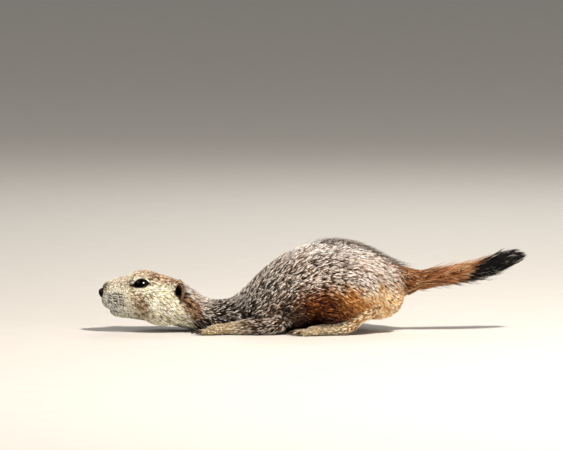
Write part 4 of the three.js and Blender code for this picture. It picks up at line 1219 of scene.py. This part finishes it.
def lock_part(n, uv, middle, wide, shades, steps):
    """Slips along given middle lines, flat towards the normal."""
    along = unit(np.gradient(middle, axis=1))
    side = unit(np.cross(n[:, None], along))
    return slips(middle, side, np.cross(along, side), wide, uv, shades, steps)


# The brush and its stray hairs: how many, the shares of the outline they reach, how loose, how wide
brush = []
for count, least, most, loose, girth in (
        (BRUSH_TUFTS, 0.35, 1.12, 0.15, (0.38, 0.66)), (STRAY_HAIRS, 1.0, 1.5, 0.4, (0.26, 0.34))):
    p, n, uv, middle = brush_part(count, least, most, loose)
    wide = random.uniform(*girth, len(p))
    shades = hair_shades(pelage_at(middle[:, 2]))
    shades = along_hair(shades, LOCK[:, 0], to_middle=(0.05, 0.4), to_tip=(0.5, 0.85))
    brush.append(lock_part(n, uv, middle, wide, shades, LOCK))
coat_piece("coat_tail", brush)


# Guard hairs of the back
# Single long dark hairs with pale ends that stand out of the coat along the ridge of the back,
# most of them over the loins. They lie back as the rest does, but less close.

def ridge(p):
    """Most along the middle of the back over the loins, few elsewhere."""
    middle = np.exp(-((beside(p) / 9.0) ** 2))
    return middle * ramp(p[:, 0], -10.0, 10.0) * ramp(p[:, 0], 70.0, 50.0) * (p[:, 2] > 40)


GUARD_HAIRS = 520
p, n, uv = rooted(hide, HIDE_WINDOW, GUARD_HAIRS, ridge)
lie = lie_of(p, n, down=0.0)
long = random.uniform(11.0, 17.0, GUARD_HAIRS)
rise = random.uniform(5.0, 6.9, GUARD_HAIRS)
dark = np.repeat(linear("#1C1613")[None], GUARD_HAIRS, 0)
pale = np.repeat(linear("#6E5E50")[None], GUARD_HAIRS, 0)
wide = np.full(GUARD_HAIRS, 0.34)
guard = tuft_part(p, n, lie, uv, long, wide, rise, (dark, dark, pale), LONG_TUFT)
coat_piece("guard_hairs", [guard])


# Whiskers
# Long stiff hairs in rows on the upper lips, dark at the root and pale at the tip.
# Each grows from its own dark spot and bends back and down.

# A whisker from its thick, dark root to its tip: share of its length, and of its width
WHISKER = np.array([(0.0, 3.6), (0.07, 3.2), (0.11, 1.1), (0.5, 0.8), (1.0, 0.0)])
parts = []
for side, _ in SIDES:
    x, z = whisker_roots()
    row, column = WHISKER_ROW, WHISKER_COLUMN
    # From beside the muzzle the roots go down the slope of the distance to just under the coat's tips
    root = np.stack([x, side * 12.0 + aside(x), z], -1)
    for _ in range(8):
        root -= slope_of(root) * (coat_distance(root) + 0.1)[:, None]
    n = slope_of(root)
    long = (6.0 + 2.0 * column + 0.8 * row) * random.uniform(0.85, 1.1, len(x))
    aim = unit(np.array([0.75, 0.9 * side, -0.12]) + random.normal(0.0, 0.08, (len(x), 3)))
    s = WHISKER[:, 0][None, :, None]
    bend = np.array([0.32, -0.25 * side, -0.16])
    middle = root[:, None] + long[:, None, None] * (aim[:, None] * s + bend * s**2)
    dark, pale = linear("#120D0A"), linear("#C9BCA4")
    shades = np.repeat((dark + (pale - dark) * ramp(WHISKER[:, 0], 0.08, 0.5)[:, None])[None], len(x), 0)
    # Each whisker has a patch of its own on the unwrap, apart from those of the other side
    uv = np.stack([np.full(len(x), 0.3 + 0.1 * side) + 0.004 * column, 0.25 + 0.004 * row], -1)
    wide = np.full(len(x), 0.26)
    parts.append(lock_part(n, uv, middle, wide, shades, WHISKER))
coat_piece("whiskers", parts)


# Floor, light and camera
# A pale studio floor without an edge in view, soft light from above on the camera's right, and the
# camera low on the animal's left side.

floor_mesh = bpy.data.meshes.new("studio_floor")
floor_mesh.from_pydata([(-30, -30, 0), (30, -30, 0), (30, 30, 0), (-30, 30, 0)], [], [(0, 1, 2, 3)])
floor = bpy.data.objects.new("studio_floor", floor_mesh)
bpy.context.scene.collection.objects.link(floor)
# Matt plaster with clouds 25 mm across
plaster, tree, place = start_material("matt_pale_floor")
clouds = two_tones(tree, noise(tree, place, 25.0, 3.0), "#BDB8B0", "#C4BFB8")
end_material(tree, clouds, roughness=0.9)
floor_mesh.materials.append(plaster)
floor.visible_glossy = False

world = bpy.data.worlds.new("studio")
bpy.context.scene.world = world
world.use_nodes = True
background = world.node_tree.nodes["Background"]
background.inputs["Color"].default_value = (*linear("#F2F1EE"), 1.0)
background.inputs["Strength"].default_value = 0.42
world.cycles_visibility.glossy = False


def lamp(name, place, aim, size, power, hex_colour):
    """A square soft light that faces a place on the animal. Returns its object."""
    light = bpy.data.lights.new(name, "AREA")
    light.size = size
    light.energy = power
    light.color = linear(hex_colour)
    holder = bpy.data.objects.new(name, light)
    way = np.array(aim) - np.array(place)
    holder.location = place
    holder.rotation_euler = (
        math.atan2(math.hypot(way[0], way[1]), -way[2]), 0.0, math.atan2(way[1], way[0]) - 0.5 * math.pi)
    bpy.context.scene.collection.objects.link(holder)
    return holder


# Places and sizes in metres, power in watts
lamp("key", (0.5, -0.62, 1.4), aim=(0.0, 0.0, 0.03), size=0.18, power=43.0, hex_colour="#FFF8F0")
lamp("side", (1.0, -0.9, 0.12), aim=(-0.1, 0.0, 0.04), size=0.3, power=8.0, hex_colour="#FFFAF2")
# A screen seen only as a mirrored spot in the wet eye
catchlight = lamp("catchlight", (1.0, -0.9, 0.1), aim=(-0.13, 0.0, 0.04), size=0.4, power=45.0,
                  hex_colour="#FFFFFF")
catchlight.visible_diffuse = False
lamp("fill", (-0.9, -1.2, 0.4), aim=(-0.05, 0.0, 0.03), size=0.9, power=3.5, hex_colour="#F2F5FF")
lamp("rim", (0.2, 1.2, 0.9), aim=(0.0, 0.0, 0.04), size=0.6, power=6.0, hex_colour="#FFFFFF")

# The photograph shows 439 mm of width at the animal
SHOWN_WIDTH = 0.439
CAMERA_AIM = (-0.0242, 0.0, 0.0827)
CAMERA_AWAY = 8.0
CAMERA_UP = math.radians(5.0)
camera_data = bpy.data.cameras.new("camera")
camera_data.sensor_width = 36.0
camera_data.lens = camera_data.sensor_width * CAMERA_AWAY / SHOWN_WIDTH
camera_data.clip_end = 100.0
camera = bpy.data.objects.new("camera", camera_data)
camera.location = (CAMERA_AIM[0], -CAMERA_AWAY * math.cos(CAMERA_UP),
                   CAMERA_AIM[2] + CAMERA_AWAY * math.sin(CAMERA_UP))
camera.rotation_euler = (0.5 * math.pi - CAMERA_UP, 0.0, 0.0)
bpy.context.scene.collection.objects.link(camera)
bpy.context.scene.camera = camera
bpy.context.scene.view_settings.view_transform = "Standard"
